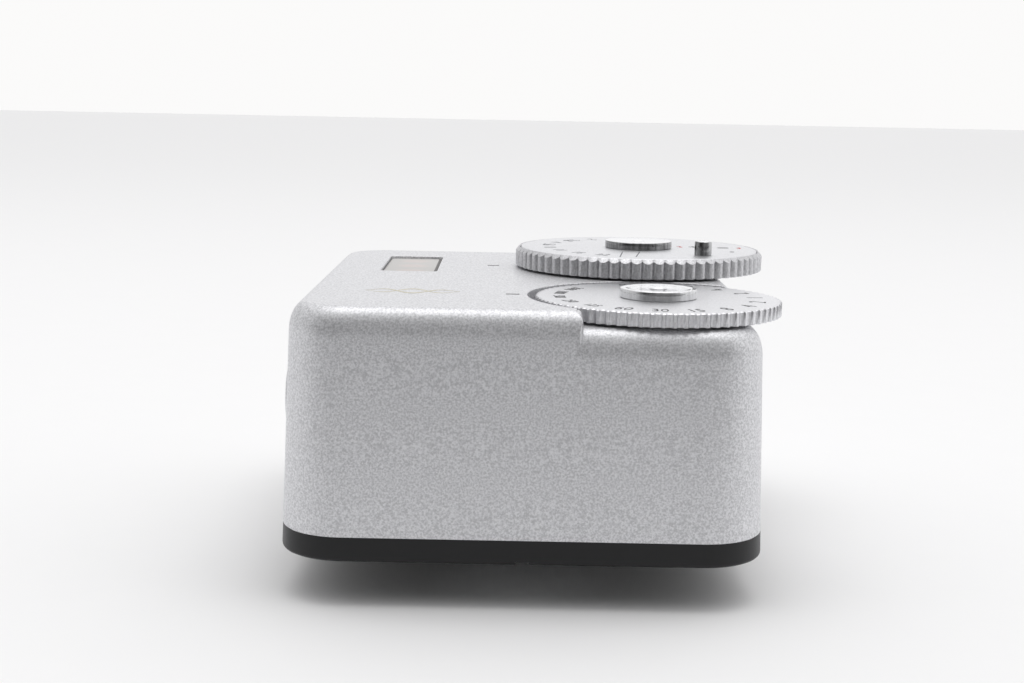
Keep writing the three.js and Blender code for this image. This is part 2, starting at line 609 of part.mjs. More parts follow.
const chip = block(CHIP_SIZE, DIAL_X, (APERTURE_Y + SHUTTER_Y) / 2, BOARD_BOTTOM - CHIP_SIZE[2]);
add('processor_chip', chip, CHIP_BLACK);

const windowFloor = ROOF - WINDOW_FLANGE_HEIGHT;
const flangeWidth = WINDOW_WIDTH + 2 * WINDOW_FLANGE;
const flangeLength = WINDOW_LENGTH + 2 * WINDOW_FLANGE;
let mask = block([flangeWidth, flangeLength, windowFloor - BOARD_TOP], windowX, windowY, BOARD_TOP);
[-1, 0, 1].forEach((step, i) => {
  const y = windowY + step * LED_PITCH;
  const room = [LED_SIZE[0] + 6 * SEAT, LED_SIZE[1] + 6 * SEAT, BOARD_GAP + 1];
  mask = mask.subtract(block(room, windowX, y, BOARD_TOP - 0.5));
  add(`lamp_${i + 1}`, block(LED_SIZE, windowX, y, BOARD_TOP), LED_EPOXY);
});
add('lamp_mask', mask, BLACK_PLASTIC);
const paneOutline = roundedRectangle(WINDOW_WIDTH, WINDOW_LENGTH, WINDOW_CORNER_R);
const pane = prism(paneOutline, windowFloor, BODY_HEIGHT - WINDOW_SINK);
const paneFlange = block([flangeWidth, flangeLength, WINDOW_FLANGE_HEIGHT], windowX, windowY, windowFloor);
add('lamp_window', pane.translate([windowX, windowY, 0]).add(paneFlange), DIFFUSER);

// ------------------------------------------------------------------ light sensor
const atSensor = (piece, x) => alongX(piece, x, SENSOR_Y, SENSOR_Z);
const bezelBack = sensorFaceX - BEZEL_THICKNESS;
const bezelFace = BEZEL_THICKNESS - 0.15;
const eyeR = LENS_R - LENS_LEDGE;
const bezel = turned([[eyeR, 0], [BEZEL_R, 0], [BEZEL_R, bezelFace], [LENS_R + 0.25, bezelFace],
  [LENS_R + SEAT, LENS_SEAT], [eyeR, LENS_SEAT], [eyeR, 0]]);
add('sensor_bezel', atSensor(bezel, bezelBack), BLACK_PLASTIC);
const dome = Array.from({ length: 5 }, (_, i) => {
  const angle = i / 4 * Math.PI / 2;
  return [LENS_R * Math.cos(angle), LENS_RIM + LENS_RISE * Math.sin(angle)];
});
dome[4][0] = 0;
add('sensor_lens', atSensor(turned([[0, 0], [LENS_R, 0], ...dome]), bezelBack + LENS_SEAT), GLASS);
const sensorX = bezelBack - SENSOR_SIZE[0] / 2;
add('photodiode', block(SENSOR_SIZE, sensorX, SENSOR_Y, SENSOR_Z - SENSOR_SIZE[2] / 2), CHIP_BLACK);
const sensorBoardX = sensorX - (SENSOR_SIZE[0] + SENSOR_BOARD_THICKNESS) / 2;
const sensorBoard = [SENSOR_BOARD_THICKNESS, SENSOR_SIZE[1] * 2, BOARD_BOTTOM - SENSOR_Z + SENSOR_SIZE[2]];
add('sensor_board', block(sensorBoard, sensorBoardX, SENSOR_Y, SENSOR_Z - SENSOR_SIZE[2]), BOARD_GREEN);

// ------------------------------------------------------------------ measuring button
const buttonLength = buttonInsideX - buttonFaceX + BUTTON_PROUD;
const stemEnd = buttonLength + BUTTON_FLANGE_HEIGHT + BUTTON_STEM_LENGTH;
const atButton = (piece, x) => alongX(piece, x, BUTTON_Y, BUTTON_Z);
const button = turned([[0, 0], [BUTTON_R - 0.2, 0], [BUTTON_R, 0.2], [BUTTON_R, buttonLength],
  [BUTTON_FLANGE_R, buttonLength], [BUTTON_FLANGE_R, buttonLength + BUTTON_FLANGE_HEIGHT],
  [BUTTON_STEM_R, buttonLength + BUTTON_FLANGE_HEIGHT], [BUTTON_STEM_R, stemEnd], [0, stemEnd]]);
add('measuring_button', atButton(button, buttonFaceX - BUTTON_PROUD), SATIN_ALLOY);
const plungerX = buttonFaceX - BUTTON_PROUD + stemEnd + FACE_GAP;
add('switch_plunger', atButton(cylinder(PLUNGER_R, 0, PLUNGER_LENGTH), plungerX), BLACK_PLASTIC);
const switchX = plungerX + PLUNGER_PROUD;
const switchBottom = BUTTON_Z - SWITCH_SIZE[2] / 2;
const switchBody = [SWITCH_SIZE[0], SWITCH_SIZE[1], BOARD_BOTTOM - switchBottom];
let tactSwitch = block(switchBody, switchX + SWITCH_SIZE[0] / 2, BUTTON_Y, switchBottom);
const plungerRoom = PLUNGER_LENGTH - PLUNGER_PROUD + BUTTON_TRAVEL + SEAT;
tactSwitch = tactSwitch.subtract(atButton(cylinder(PLUNGER_R + RUN, -1, plungerRoom), switchX));
add('tact_switch', tactSwitch, BLACK_PLASTIC);
const springStart = buttonInsideX + BUTTON_FLANGE_HEIGHT + FACE_GAP;
const springLength = switchX - springStart - FACE_GAP;
const buttonSpring = coil(BUTTON_SPRING_R, WIRE_R, 0, springLength, BUTTON_SPRING_TURNS);
add('button_spring', atButton(buttonSpring, springStart), STEEL);

// ------------------------------------------------------------------ dials
const plateR = APERTURE_R - PLATE_RIM - RUN;
const plateBottom = dials[0].top - PLATE_THICKNESS;
const atDial = (piece, { y }) => piece.translate([DIAL_X, y, 0]);
const pinX = PIN_ORBIT * Math.cos(PIN_BEARING);
const pinY = PIN_ORBIT * Math.sin(PIN_BEARING);

function apertureRing(dial) {
  let ring = prism(toothedOutline(APERTURE_R, 0.72, TOOTH_DEPTH), dial.bottom, dial.top, 1);
  const shoulder = dial.top - APERTURE_BEVEL;
  const outer = APERTURE_R + PLATE_RIM;
  const bevelled = turned([[0, dial.bottom - 1], [outer, dial.bottom - 1], [outer, shoulder - APERTURE_BEVEL],
    [APERTURE_R - PLATE_RIM, dial.top], [0, dial.top]], TEETH);
  ring = ring.intersect(bevelled);
  const recess = plateBottom - RUN;
  ring = ring.subtract(cylinder(APERTURE_R - PLATE_RIM, recess, dial.top + 1, 0, 0, TEETH * 2 / 3));
  const half = PIN_TAIL_R + RUN + 0.1;
  const groove = sector(PIN_ORBIT - half, PIN_ORBIT + half, PIN_BEARING, PIN_TRAVEL + half / PIN_ORBIT,
    plateBottom - PIN_TAIL_LENGTH - SEAT, recess + 1);
  return ring.subtract(groove).subtract(cylinder(SHAFT_R + SEAT / 2, dial.bottom - 1, dial.top));
}

function filmSpeedPlate(dial) {
  const plate = tube(SHAFT_R + RUN, plateR, plateBottom, dial.top, TEETH * 2 / 3);
  return plate.subtract(cylinder(PIN_TAIL_R + SEAT / 2, plateBottom - 1, dial.top + 1, pinX, pinY, 20));
}

function filmSpeedPin(dial) {
  const top = dial.top + PIN_HEIGHT;
  const pin = turned([[0, plateBottom - PIN_TAIL_LENGTH], [PIN_TAIL_R, plateBottom - PIN_TAIL_LENGTH],
    [PIN_TAIL_R, dial.top], [PIN_R, dial.top], [PIN_R, top - 0.15], [PIN_R - 0.15, top], [0, top]], 20);
  return pin.translate([pinX, pinY, 0]);
}

function shutterDisc(dial) {
  const disc = prism(toothedOutline(SHUTTER_R, 0.24, TOOTH_DEPTH), dial.bottom, dial.top, 1);
  return disc.subtract(cylinder(SHAFT_R + SEAT / 2, dial.bottom - 1, dial.top + 1));
}

const [aperture, shutter] = dials;
add('aperture_ring', atDial(apertureRing(aperture), aperture), SATIN_ALLOY);
add('film_speed_plate', atDial(filmSpeedPlate(aperture), aperture), SATIN_ALLOY);
add('film_speed_pin', atDial(filmSpeedPin(aperture), aperture), CHROME);
add('shutter_disc', atDial(shutterDisc(shutter), shutter), SATIN_ALLOY);

for (const dial of dials) {
  const named = (part) => `${dial.name}_${part}`;
  const capBottom = dial.top + FACE_GAP;
  const capTop = capBottom + dial.cap;
  const cap = turned([[0, capBottom], [CAP_R, capBottom], [CAP_R, capTop - 0.12], [CAP_R - 0.12, capTop],
    [CAP_DIMPLE_R, capTop], [CAP_DIMPLE_R * 0.4, capTop - 0.25], [0, capTop - 0.25]], 24);
  add(named('cap'), atDial(cap, dial), CHROME);

  const flangeBottom = ROOF - BUSH_FLANGE_HEIGHT;
  const washerBottom = dial.deck - WASHER_THICKNESS;
  const bush = turned([[SHAFT_R + RUN, flangeBottom], [BUSH_FLANGE_R, flangeBottom], [BUSH_FLANGE_R, ROOF],
    [BUSH_R, ROOF], [BUSH_R, washerBottom], [SHAFT_R + RUN, washerBottom], [SHAFT_R + RUN, flangeBottom]]);
  add(named('bush'), atDial(bush, dial), BRASS);
  const washer = tube(SHAFT_R + 4 * SEAT, WASHER_R, washerBottom, dial.deck, 24);
  add(named('washer'), atDial(washer, dial), BLACK_FIBRE);

  const wiperBottom = BOARD_TOP + WIPER_LIFT;
  const wiperTop = wiperBottom + WIPER_THICKNESS;
  add(named('shaft'), atDial(cylinder(SHAFT_R, wiperBottom, dial.top), dial), STEEL);
  const clipBottom = wiperTop + FACE_GAP;
  const clip = tube(SHAFT_R + SEAT / 2, CLIP_R, clipBottom, clipBottom + CLIP_THICKNESS);
  add(named('clip'), atDial(clip, dial), STEEL);
  let wiper = cylinder(WIPER_R, wiperBottom, wiperTop, 0, 0, 24);
  wiper = wiper.add(box(-WIPER_TAB_WIDTH / 2, WIPER_TAB_WIDTH / 2, 0, WIPER_TAB_R, wiperBottom, wiperTop));
  wiper = wiper.subtract(cylinder(SHAFT_R + SEAT / 2, wiperBottom - 1, wiperTop + 1));
  add(named('wiper'), atDial(wiper, dial), BRASS);
  const stopPost = cylinder(STOP_R, BOARD_TOP, wiperTop + STOP_PROUD, 0, -STOP_ORBIT, 12);
  add(named('stop_post'), atDial(stopPost, dial), STEEL);

  const ballTop = dial.deck + DETENT_PROUD;
  const ball = solid(new THREE.SphereGeometry(DETENT_BALL_R, 12, 8).rotateX(Math.PI / 2));
  const ballPlace = [DIAL_X - DETENT_ORBIT, dial.y, ballTop - DETENT_BALL_R];
  add(named('detent_ball'), ball.translate(ballPlace), STEEL);
  const springHeights = [dial.deck - DETENT_DEPTH, ballTop - 2 * DETENT_BALL_R - FACE_GAP];
  const detentSpring = coil(DETENT_BALL_R - 2 * DETENT_WIRE_R, DETENT_WIRE_R, ...springHeights, DETENT_TURNS);
  add(named('detent_spring'), detentSpring.translate([DIAL_X - DETENT_ORBIT, dial.y, 0]), STEEL);
}

export default group;
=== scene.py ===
"""Looks of a two-dial exposure meter for a camera's accessory shoe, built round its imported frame."""
import json
import math

import bmesh
import bpy
from bpy.props import FloatProperty, FloatVectorProperty, IntProperty, PointerProperty
from mathutils import Matrix, Vector


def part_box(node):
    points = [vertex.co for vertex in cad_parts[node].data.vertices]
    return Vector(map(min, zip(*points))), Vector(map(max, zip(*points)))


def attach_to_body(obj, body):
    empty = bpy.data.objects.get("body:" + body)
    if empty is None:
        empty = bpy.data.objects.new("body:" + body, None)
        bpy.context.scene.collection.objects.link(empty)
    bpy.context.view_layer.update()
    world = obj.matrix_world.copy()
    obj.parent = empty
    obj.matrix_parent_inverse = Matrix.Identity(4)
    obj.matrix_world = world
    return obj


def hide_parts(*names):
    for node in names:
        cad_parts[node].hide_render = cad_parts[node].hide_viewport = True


bl_info = {
    "name": "Exposure Meter",
    "version": (1, 0, 0),
    "blender": (4, 5, 0),
    "location": "3D View > Sidebar > Meter",
    "description": "Builds the visible pieces of a two-dial accessory shoe exposure meter",
    "category": "Object",
}

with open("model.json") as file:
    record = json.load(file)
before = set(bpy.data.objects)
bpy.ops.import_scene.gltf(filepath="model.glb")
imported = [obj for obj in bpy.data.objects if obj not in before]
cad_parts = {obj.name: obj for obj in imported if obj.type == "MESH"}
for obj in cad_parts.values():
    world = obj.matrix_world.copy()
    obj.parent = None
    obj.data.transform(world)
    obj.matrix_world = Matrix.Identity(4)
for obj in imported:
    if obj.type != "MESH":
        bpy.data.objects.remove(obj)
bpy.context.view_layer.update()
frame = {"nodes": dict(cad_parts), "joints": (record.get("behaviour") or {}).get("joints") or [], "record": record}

MM = 0.001

# What the frame's boxes don't give: lengths in millimetres, angles in radians
SHAFT_HOLE_R = 1.55
SEAT = 0.1
RUN = 0.08
DECK_THICKNESS = 1.3
POST_R = 2.3
POST_INSET = 3.55
SCREW_BORE_R = 0.9
STANDOFF_R = 1.6
BUSH_HOLE_R = 2.6
WASHER_RECESS_R = 5.2
WASHER_RECESS = 0.5
DETENT_ORBIT = 8
DETENT_BORE_R = 0.58
DETENT_DEPTH = 1.9
DETENT_BOSS_R = 1.4
DETENT_BOSS_FLOOR = 0.4
POCKET_MOUTH = 6.48
MOUTH_FILLET = 0.5
PIN_TRAVEL = math.radians(62)
PIN_R = 0.78
KEY_R = 2.75
PANE_FLANGE = 1.0
SCREW_HEAD_R = 1.7
SCREW_HEAD_DEPTH = 0.9
LUG_HALF = math.radians(20)
PRINT_RISE = 0.012          # printed marks stand this far above what they are printed on

SQUARE = [(1, 1), (-1, 1), (-1, -1), (1, -1)]


# ------------------------------------------------------------------ places taken from the frame
def cad_box(node):
    """A node's lowest and highest corners in millimetres."""
    low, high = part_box(node)
    return low / MM, high / MM


def cad_middle(node):
    low, high = cad_box(node)
    return (low + high) / 2


def cad_radius(node):
    """Half of a node's width along X."""
    low, high = cad_box(node)
    return (high.x - low.x) / 2


def joint_place(name):
    """A joint's axis point in millimetres."""
    joint = next(j for j in frame["joints"] if j["name"] == name)
    return Vector(joint["pos_m"]) / MM


HOUSING_LOW, HOUSING_HIGH = cad_box("top_housing")
BASE_LOW, BASE_HIGH = cad_box("base_plate")
SEAM = HOUSING_LOW.z
UPPER_DECK = HOUSING_HIGH.z
HALF_X = HOUSING_HIGH.x
HALF_Y = HOUSING_HIGH.y
APERTURE_AXIS = joint_place("aperture_turn")
SHUTTER_AXIS = joint_place("shutter_turn")
BATTERY_AXIS = joint_place("battery_door_turn")


# ------------------------------------------------------------------ settings a user would change
def length(name, description, millimetres):
    return FloatProperty(name=name, description=description, default=millimetres * MM,
                         min=0, precision=5, unit="LENGTH")


def tint(name, description, default):
    return FloatVectorProperty(name=name, description=description, default=default,
                               size=3, min=0, max=1, subtype="COLOR")


class MeterSizes(bpy.types.PropertyGroup):
    corner: length("Corner Radius", "Radius of the housing's upright corners at the seam", 5.1)
    edge: length("Edge Height", "Height of the rounding round the decks", 2.4)
    edge_depth: length("Edge Depth", "How far in from the wall that rounding reaches", 1.4)
    wall: length("Wall", "Thickness of the housing's walls", 1.2)
    deck_step: length("Deck Step", "Upper deck down to the deck of the shutter dial", 1.35)
    pocket_gap: length("Pocket Gap", "Space round the shutter dial in its pocket", 0.66)
    crisp_edge: length("Crisp Edge", "Bevel on the housing's cut edges", 0.06)
    draft: FloatProperty(name="Draft", description="Lean of the housing's walls",
                         default=math.radians(1.8), unit="ROTATION")
    teeth: IntProperty(name="Teeth", description="Teeth round each dial", default=72, min=12)
    tooth_depth: length("Tooth Depth", "Land down to groove on both dials", 0.24)
    number_height: length("Number Height", "Height of the printed numbers", 1.45)


class MeterColours(bpy.types.PropertyGroup):
    paint_dark: tint("Paint Shade", "Darker flakes of the silver paint", (0.525, 0.525, 0.537))
    paint_light: tint("Paint Light", "Lighter flakes of the silver paint", (0.795, 0.795, 0.81))
    alloy: tint("Alloy", "Blasted metal of the dials", (0.72, 0.72, 0.735))
    base: tint("Base", "Black base plate", (0.009, 0.009, 0.0095))
    gold: tint("Gold", "Printed ornament", (0.60, 0.56, 0.42))
    number: tint("Numbers", "Ink of the shutter dial's numbers", (0.03, 0.03, 0.034))
    faint: tint("Faint Print", "Ink of the aperture numbers", (0.16, 0.165, 0.18))
    accent: tint("Accent Print", "Ink of the accented marks", (0.62, 0.06, 0.05))


def sizes():
    return bpy.context.scene.meter_sizes


def colours():
    return bpy.context.scene.meter_colours


# ------------------------------------------------------------------ meshes
def linked(name, data):
    """A new object in the scene."""
    obj = bpy.data.objects.new(name, data)
    bpy.context.scene.collection.objects.link(obj)
    return obj


def piece(name, vertices, faces):
    """A new object from millimetre points, with its faces turned outwards."""
    mesh = bpy.data.meshes.new(name)
    mesh.from_pydata([Vector(v) * MM for v in vertices], [], faces)
    obj = linked(name, mesh)
    face_outwards(obj)
    return obj


def face_outwards(obj):
    """Turns every face of a closed mesh outwards."""
    work = bmesh.new()
    work.from_mesh(obj.data)
    bmesh.ops.recalc_face_normals(work, faces=work.faces)
    work.to_mesh(obj.data)
    work.free()


def bake(obj):
    """Turns an object's modifiers into plain mesh."""
    bpy.context.view_layer.update()
    evaluated = obj.evaluated_get(bpy.context.evaluated_depsgraph_get())
    mesh = bpy.data.meshes.new_from_object(evaluated)
    obj.modifiers.clear()
    obj.data = mesh
    mesh.name = obj.name


def carve(obj, tool, operation="DIFFERENCE"):
    """Cuts an object with a tool, or joins the tool to it. The tool is used up."""
    change = obj.modifiers.new("Carve", "BOOLEAN")
    change.operation = operation
    change.solver = "EXACT"
    change.object = tool
    bake(obj)
    bpy.data.objects.remove(tool)


def joined(name, parts):
    """Several objects that don't touch, as one."""
    work = bmesh.new()
    for part in parts:
        work.from_mesh(part.data)
        bpy.data.objects.remove(part)
    mesh = bpy.data.meshes.new(name)
    work.to_mesh(mesh)
    work.free()
    return linked(name, mesh)


def smooth(obj, angle=32.0):
    """Smooth shading, but sharp where faces meet at more than an angle."""
    obj.data.shade_smooth()
    obj.data.set_sharp_from_angle(angle=math.radians(angle))


def soften(obj, width, angle=40.0, segments=2):
    """Small rounded edges where faces meet at more than an angle, and even shading on the flats."""
    bevel = obj.modifiers.new("Edges", "BEVEL")
    bevel.width = width * MM
    bevel.segments = segments
    bevel.limit_method = "ANGLE"
    bevel.angle_limit = math.radians(angle)
    bevel.use_clamp_overlap = True
    obj.data.shade_smooth()
    normals = obj.modifiers.new("Flats", "WEIGHTED_NORMAL")
    normals.keep_sharp = True
    bake(obj)


def loft(name, rings):
    """A closed skin over a stack of rings, lowest first."""
    count = len(rings[0])
    vertices = [point for ring in rings for point in ring]
    faces = [tuple(reversed(range(count))), tuple(range(len(vertices) - count, len(vertices)))]
    for level in range(len(rings) - 1):
        start = level * count
        for i in range(count):
            after = (i + 1) % count
            faces.append((start + i, start + after, start + count + after, start + count + i))
    return piece(name, vertices, faces)


def prism(name, outline, bottom, top):
    return loft(name, [[(x, y, z) for x, y in outline] for z in (bottom, top)])


def box(name, low, high):
    (x0, y0, z0), (x1, y1, z1) = low, high
    return prism(name, [(x0, y0), (x1, y0), (x1, y1), (x0, y1)], z0, z1)


def arc(radius, start, end, steps, centre=(0, 0)):
    return [(centre[0] + radius * math.cos(start + (end - start) * i / steps),
             centre[1] + radius * math.sin(start + (end - start) * i / steps)) for i in range(steps + 1)]


def circle(radius, steps, centre=(0, 0)):
    return arc(radius, 0, math.tau, steps, centre)[:-1]


def sector(inner, outer, bearing, half, centre, steps=16):
    """The outline of a piece of flat ring, as far to one side of a bearing as to the other."""
    outline = arc(outer, bearing - half, bearing + half, steps, centre)
    return outline + arc(inner, bearing + half, bearing - half, steps, centre)


def rounded_rectangle(half_x, half_y, radius, steps, centre=(0, 0)):
    outline = []
    for corner, (sx, sy) in enumerate(SQUARE):
        middle = (centre[0] + sx * (half_x - radius), centre[1] + sy * (half_y - radius))
        outline += arc(radius, corner * math.pi / 2, (corner + 1) * math.pi / 2, steps, middle)
    return outline


def filleted(points, radii, steps=4):
    """A path with chosen corners rounded. Each radius goes with the point of the same index."""
    path = []
    for i, corner in enumerate(points):
        radius = radii.get(i, 0)
        if not radius:
            path.append(corner)
            continue
        here = Vector(corner)
        before = (Vector(points[i - 1]) - here).normalized()
        after = (Vector(points[i + 1]) - here).normalized()
        half = before.angle(after) / 2
        reach = radius / math.tan(half)
        centre = here + (before + after).normalized() * radius / math.sin(half)
        first = here + before * reach - centre
        last = here + after * reach - centre
        turn = first.angle_signed(last)
        for step in range(steps + 1):
            spoke = first.copy()
            spoke.rotate(Matrix.Rotation(-turn * step / steps, 2))
            path.append(tuple(centre + spoke))
    return path


def lathe(name, profile, axis=(0, 0), steps=96, closed=False):
    """A turned piece from (radius, height) points up its outside, closed at the axis or as a ring."""
    vertices = []
    rows = []
    for radius, z in profile:
        if radius < 1e-6:
            rows.append([len(vertices)] * steps)
            vertices.append((axis[0], axis[1], z))
            continue
        rows.append(list(range(len(vertices), len(vertices) + steps)))
        vertices += [(x, y, z) for x, y in circle(radius, steps, axis)]
    faces = []
    pairs = list(zip(rows, rows[1:]))
    if closed:
        pairs.append((rows[-1], rows[0]))
    for low, high in pairs:
        for i in range(steps):
            after = (i + 1) % steps
            corners = [low[i], low[after], high[after], high[i]]
            face = tuple(dict.fromkeys(corners))
            if len(face) > 2:
                faces.append(face)
    return piece(name, vertices, faces)


def lay_along_x(obj, x, y, z, outwards=1):
    """Moves a piece made about the Z axis so that its axis runs along X from a point."""
    turn = Matrix.Rotation(math.radians(90 * outwards), 4, "Y")
    obj.data.transform(Matrix.Translation(Vector((x, y, z)) * MM) @ turn)
    return obj


# ------------------------------------------------------------------ node trees
class Wire:
    """A node's output, which adds its Math nodes when it is used in a sum."""

    def __init__(self, graph, socket):
        self.graph = graph
        self.socket = socket

    def __add__(self, other):
        return self.graph.math("ADD", self, other)

    __radd__ = __add__

    def __sub__(self, other):
        return self.graph.math("SUBTRACT", self, other)

    def __rsub__(self, other):
        return self.graph.math("SUBTRACT", other, self)

    def __mul__(self, other):
        return self.graph.math("MULTIPLY", self, other)

    __rmul__ = __mul__

    def __truediv__(self, other):
        return self.graph.math("DIVIDE", self, other)

    def __pow__(self, other):
        return self.graph.math("POWER", self, other)

    def size(self):
        return self.graph.math("ABSOLUTE", self)

    def between(self, low, high):
        """0 below low, 1 above high, and a smooth rise between them."""
        inputs = {"Value": self, "From Min": low, "From Max": high}
        return self.graph.add("ShaderNodeMapRange", {"interpolation_type": "SMOOTHSTEP"}, inputs)


class Graph:
    """Adds nodes to a tree."""

    def __init__(self, tree):
        self.tree = tree

    def add(self, kind, settings=None, inputs=None, output=0):
        """A node of a type, with its settings first and then its inputs; returns one output."""
        node = self.tree.nodes.new(kind)
        for name, value in (settings or {}).items():
            if name == "stops":
                self.set_stops(node.color_ramp, value)
            else:
                setattr(node, name, value)
        for name, value in (inputs or {}).items():
            if isinstance(value, Wire):
                self.tree.links.new(value.socket, node.inputs[name])
            else:
                node.inputs[name].default_value = value
        return Wire(self, node.outputs[output]) if len(node.outputs) else node

    def set_stops(self, ramp, stops):
        while len(ramp.elements) < len(stops):
            ramp.elements.new(1.0)
        for element, (position, shade) in zip(ramp.elements, stops):
            element.position = position
            element.color = (*shade, 1.0) if hasattr(shade, "__len__") else (shade, shade, shade, 1.0)

    def math(self, operation, *values):
        return self.add("ShaderNodeMath", {"operation": operation}, dict(enumerate(values)))

    def vector(self, operation, *values, output=0):
        return self.add("ShaderNodeVectorMath", {"operation": operation}, dict(enumerate(values)), output)

    def mix(self, factor, first, second):
        """A colour between two colours."""
        first, second = (c if isinstance(c, Wire) else (*c[:3], 1.0) for c in (first, second))
        inputs = {"Factor": factor, "A": first, "B": second}
        node = self.tree.nodes.new("ShaderNodeMix")
        node.data_type = "RGBA"
        for name, value in inputs.items():
            kind = "VALUE" if name == "Factor" else "RGBA"
            socket = next(s for s in node.inputs if s.name == name and s.type == kind)
            if isinstance(value, Wire):
                self.tree.links.new(value.socket, socket)
            else:
                socket.default_value = value
        return Wire(self, next(s for s in node.outputs if s.type == "RGBA"))

    def split(self, vector):
        """The three parts of a vector."""
        outputs = self.add("ShaderNodeSeparateXYZ", inputs={"Vector": vector}).socket.node.outputs
        return [Wire(self, socket) for socket in outputs]

    def place(self, centre=(0, 0, 0), stretch=(1, 1, 1)):
        """Object coordinates in metres about a point in millimetres, stretched along each axis."""
        coordinates = self.add("ShaderNodeTexCoord", output="Object")
        if not any(centre) and stretch == (1, 1, 1):
            return coordinates
        moved = self.vector("SUBTRACT", coordinates, Vector(centre) * MM)
        return self.add("ShaderNodeMapping", inputs={"Vector": moved, "Scale": stretch})

    def noise(self, where, grain, detail=2.0, roughness=0.5):
        """Noise with features of about a size in millimetres."""
        inputs = {"Vector": where, "Scale": 1 / (grain * MM), "Detail": detail, "Roughness": roughness}
        return self.add("ShaderNodeTexNoise", inputs=inputs)

    def rings(self, centre, pitch):
        """Turned lines about an upright axis."""
        inputs = {"Vector": self.place(centre), "Scale": 1 / (pitch * MM * 20)}
        settings = {"wave_type": "RINGS", "rings_direction": "Z", "wave_profile": "SIN"}
        return self.add("ShaderNodeTexWave", settings, inputs)

    def bump(self, height, rise):
        """A bump whose height of 1 stands for a rise in millimetres."""
        inputs = {"Height": height, "Distance": rise * MM, "Strength": 1.0}
        return self.add("ShaderNodeBump", inputs=inputs)


class Material(Graph):
    """A material with one Principled shader."""

    def __init__(self, name):
        self.material = bpy.data.materials.new(name)
        self.material.use_nodes = True
        super().__init__(self.material.node_tree)
        self.shader = self.tree.nodes["Principled BSDF"]

    def surface(self, **inputs):
        """Sets the shader's sockets, with underscores for spaces, and returns the material."""
        for name, value in inputs.items():
            socket = self.shader.inputs[name.replace("_", " ")]
            if isinstance(value, Wire):
                self.tree.links.new(value.socket, socket)
            elif hasattr(value, "__len__") and len(value) == 3 and socket.type == "RGBA":
                socket.default_value = (*value, 1.0)
            else:
                socket.default_value = value
        return self.material


# ------------------------------------------------------------------ finishes
def silver_paint():
    """Fine metallic paint: small flakes, a slight orange-peel and nearly even gloss."""
    m = Material("silver_paint")
    where = m.place()
    flake = m.noise(where, 0.17, detail=2.0, roughness=0.6)
    sparkle = m.noise(where, 0.10, detail=1.0)
    peel = m.noise(where, 1.4, detail=2.0)
    shade = (flake * 0.75 + sparkle * 0.25).between(0.34, 0.66)
    colour = m.mix(shade, colours().paint_dark, colours().paint_light)
    height = flake * 0.6 + sparkle * 0.25 + peel * 0.6
    return m.surface(Base_Color=colour, Metallic=0.62, Roughness=0.34 + sparkle * 0.16,
                     Normal=m.bump(height, 0.007))


def satin_alloy(name, centre, grain):
    """Blasted and anodised metal with faint turned lines about its axis."""
    m = Material(name)
    where = m.place(centre)
    blast = m.noise(where, grain, detail=3.0, roughness=0.7)
    patch = m.noise(where, 2.5, detail=1.0)
    alloy = Vector(colours().alloy)
    colour = m.mix(blast.between(0.3, 0.7), alloy * 0.84, alloy * 1.12)
    return m.surface(Base_Color=colour, Metallic=0.8, Roughness=0.30 + patch * 0.12,
                     Normal=m.bump(blast, 0.006))


def milled_alloy(name, centre, shade, contrast, rise):
    """The cut sides of a dial: upright cutter marks over the satin metal, with its tone scaled by shade, a painted
    shade for the dark surroundings these upright faces reflect.
    """
    m = Material(name)
    marks = m.noise(m.place(centre, (1, 1, 0.22)), 0.10, detail=2.0, roughness=0.6)
    grit = m.noise(m.place(), 0.16, detail=1.0)
    cut = (marks * 0.6 + grit * 0.4).between(0.32, 0.68)
    # Painted shade: the alloy tone is scaled by shade, darker below 1, on upright sides that reflect dark
    # surroundings.
    alloy = Vector(colours().alloy) * shade
    return m.surface(Base_Color=m.mix(cut, alloy * (1 - contrast), alloy * (1 + contrast)), Metallic=0.9,
                     Roughness=0.28 + grit * 0.14, Normal=m.bump(marks, rise))


def polished(name, centre, side_r=0.0, shade=1.0, reflection_streak=0.65):
    """Bright plating over fine turned lines, with a painted reflection on its side: a darker tone with upright
    streaks, standing for the dark surroundings the side reflects.
    """
    m = Material(name)
    tone = Vector((0.86, 0.865, 0.87))
    lines = m.rings(centre, 0.09)
    wipe = m.noise(m.place(centre, (1, 3, 1)), 1.1, detail=3.0)
    colour = m.mix(wipe, tone * 0.94, tone * 1.04)
    if side_r:
        # Painted reflection: the side is darkened by shade, with upright streaks, for the dark surroundings it
        # reflects.
        flat = m.vector("MULTIPLY", m.place(centre), (1, 1, 0))
        side = m.vector("LENGTH", flat, output="Value").between((side_r - 0.1) * MM, (side_r - 0.02) * MM)
        reflection_streaks = m.noise(m.place(centre, (1, 1, 0.1)), 0.5, detail=3.0, roughness=0.7)
        painted_side_reflection = m.mix(reflection_streaks.between(0.36, 0.62), tone * shade * (1 - reflection_streak), tone * shade)
        colour = m.mix(side, colour, painted_side_reflection)
    return m.surface(Base_Color=colour, Metallic=1.0, Roughness=0.06 + wipe * 0.08,
                     Normal=m.bump(lines, 0.0015))


def machined(name, tone, roughness, pitch=0.12, centre=(0, 0, 0)):
    """Plain machined metal: faint tool lines, small stains and uneven gloss."""
    m = Material(name)
    lines = m.rings(centre, pitch)
    stain = m.noise(m.place(), 1.6, detail=4.0, roughness=0.6)
    grit = m.noise(m.place(), 0.12, detail=2.0)
    tone = Vector(tone)
    return m.surface(Base_Color=m.mix(stain.between(0.3, 0.75), tone * 0.84, tone * 1.08), Metallic=0.95,
                     Roughness=roughness + grit * 0.14, Normal=m.bump(lines * 0.5 + grit * 0.5, 0.003))


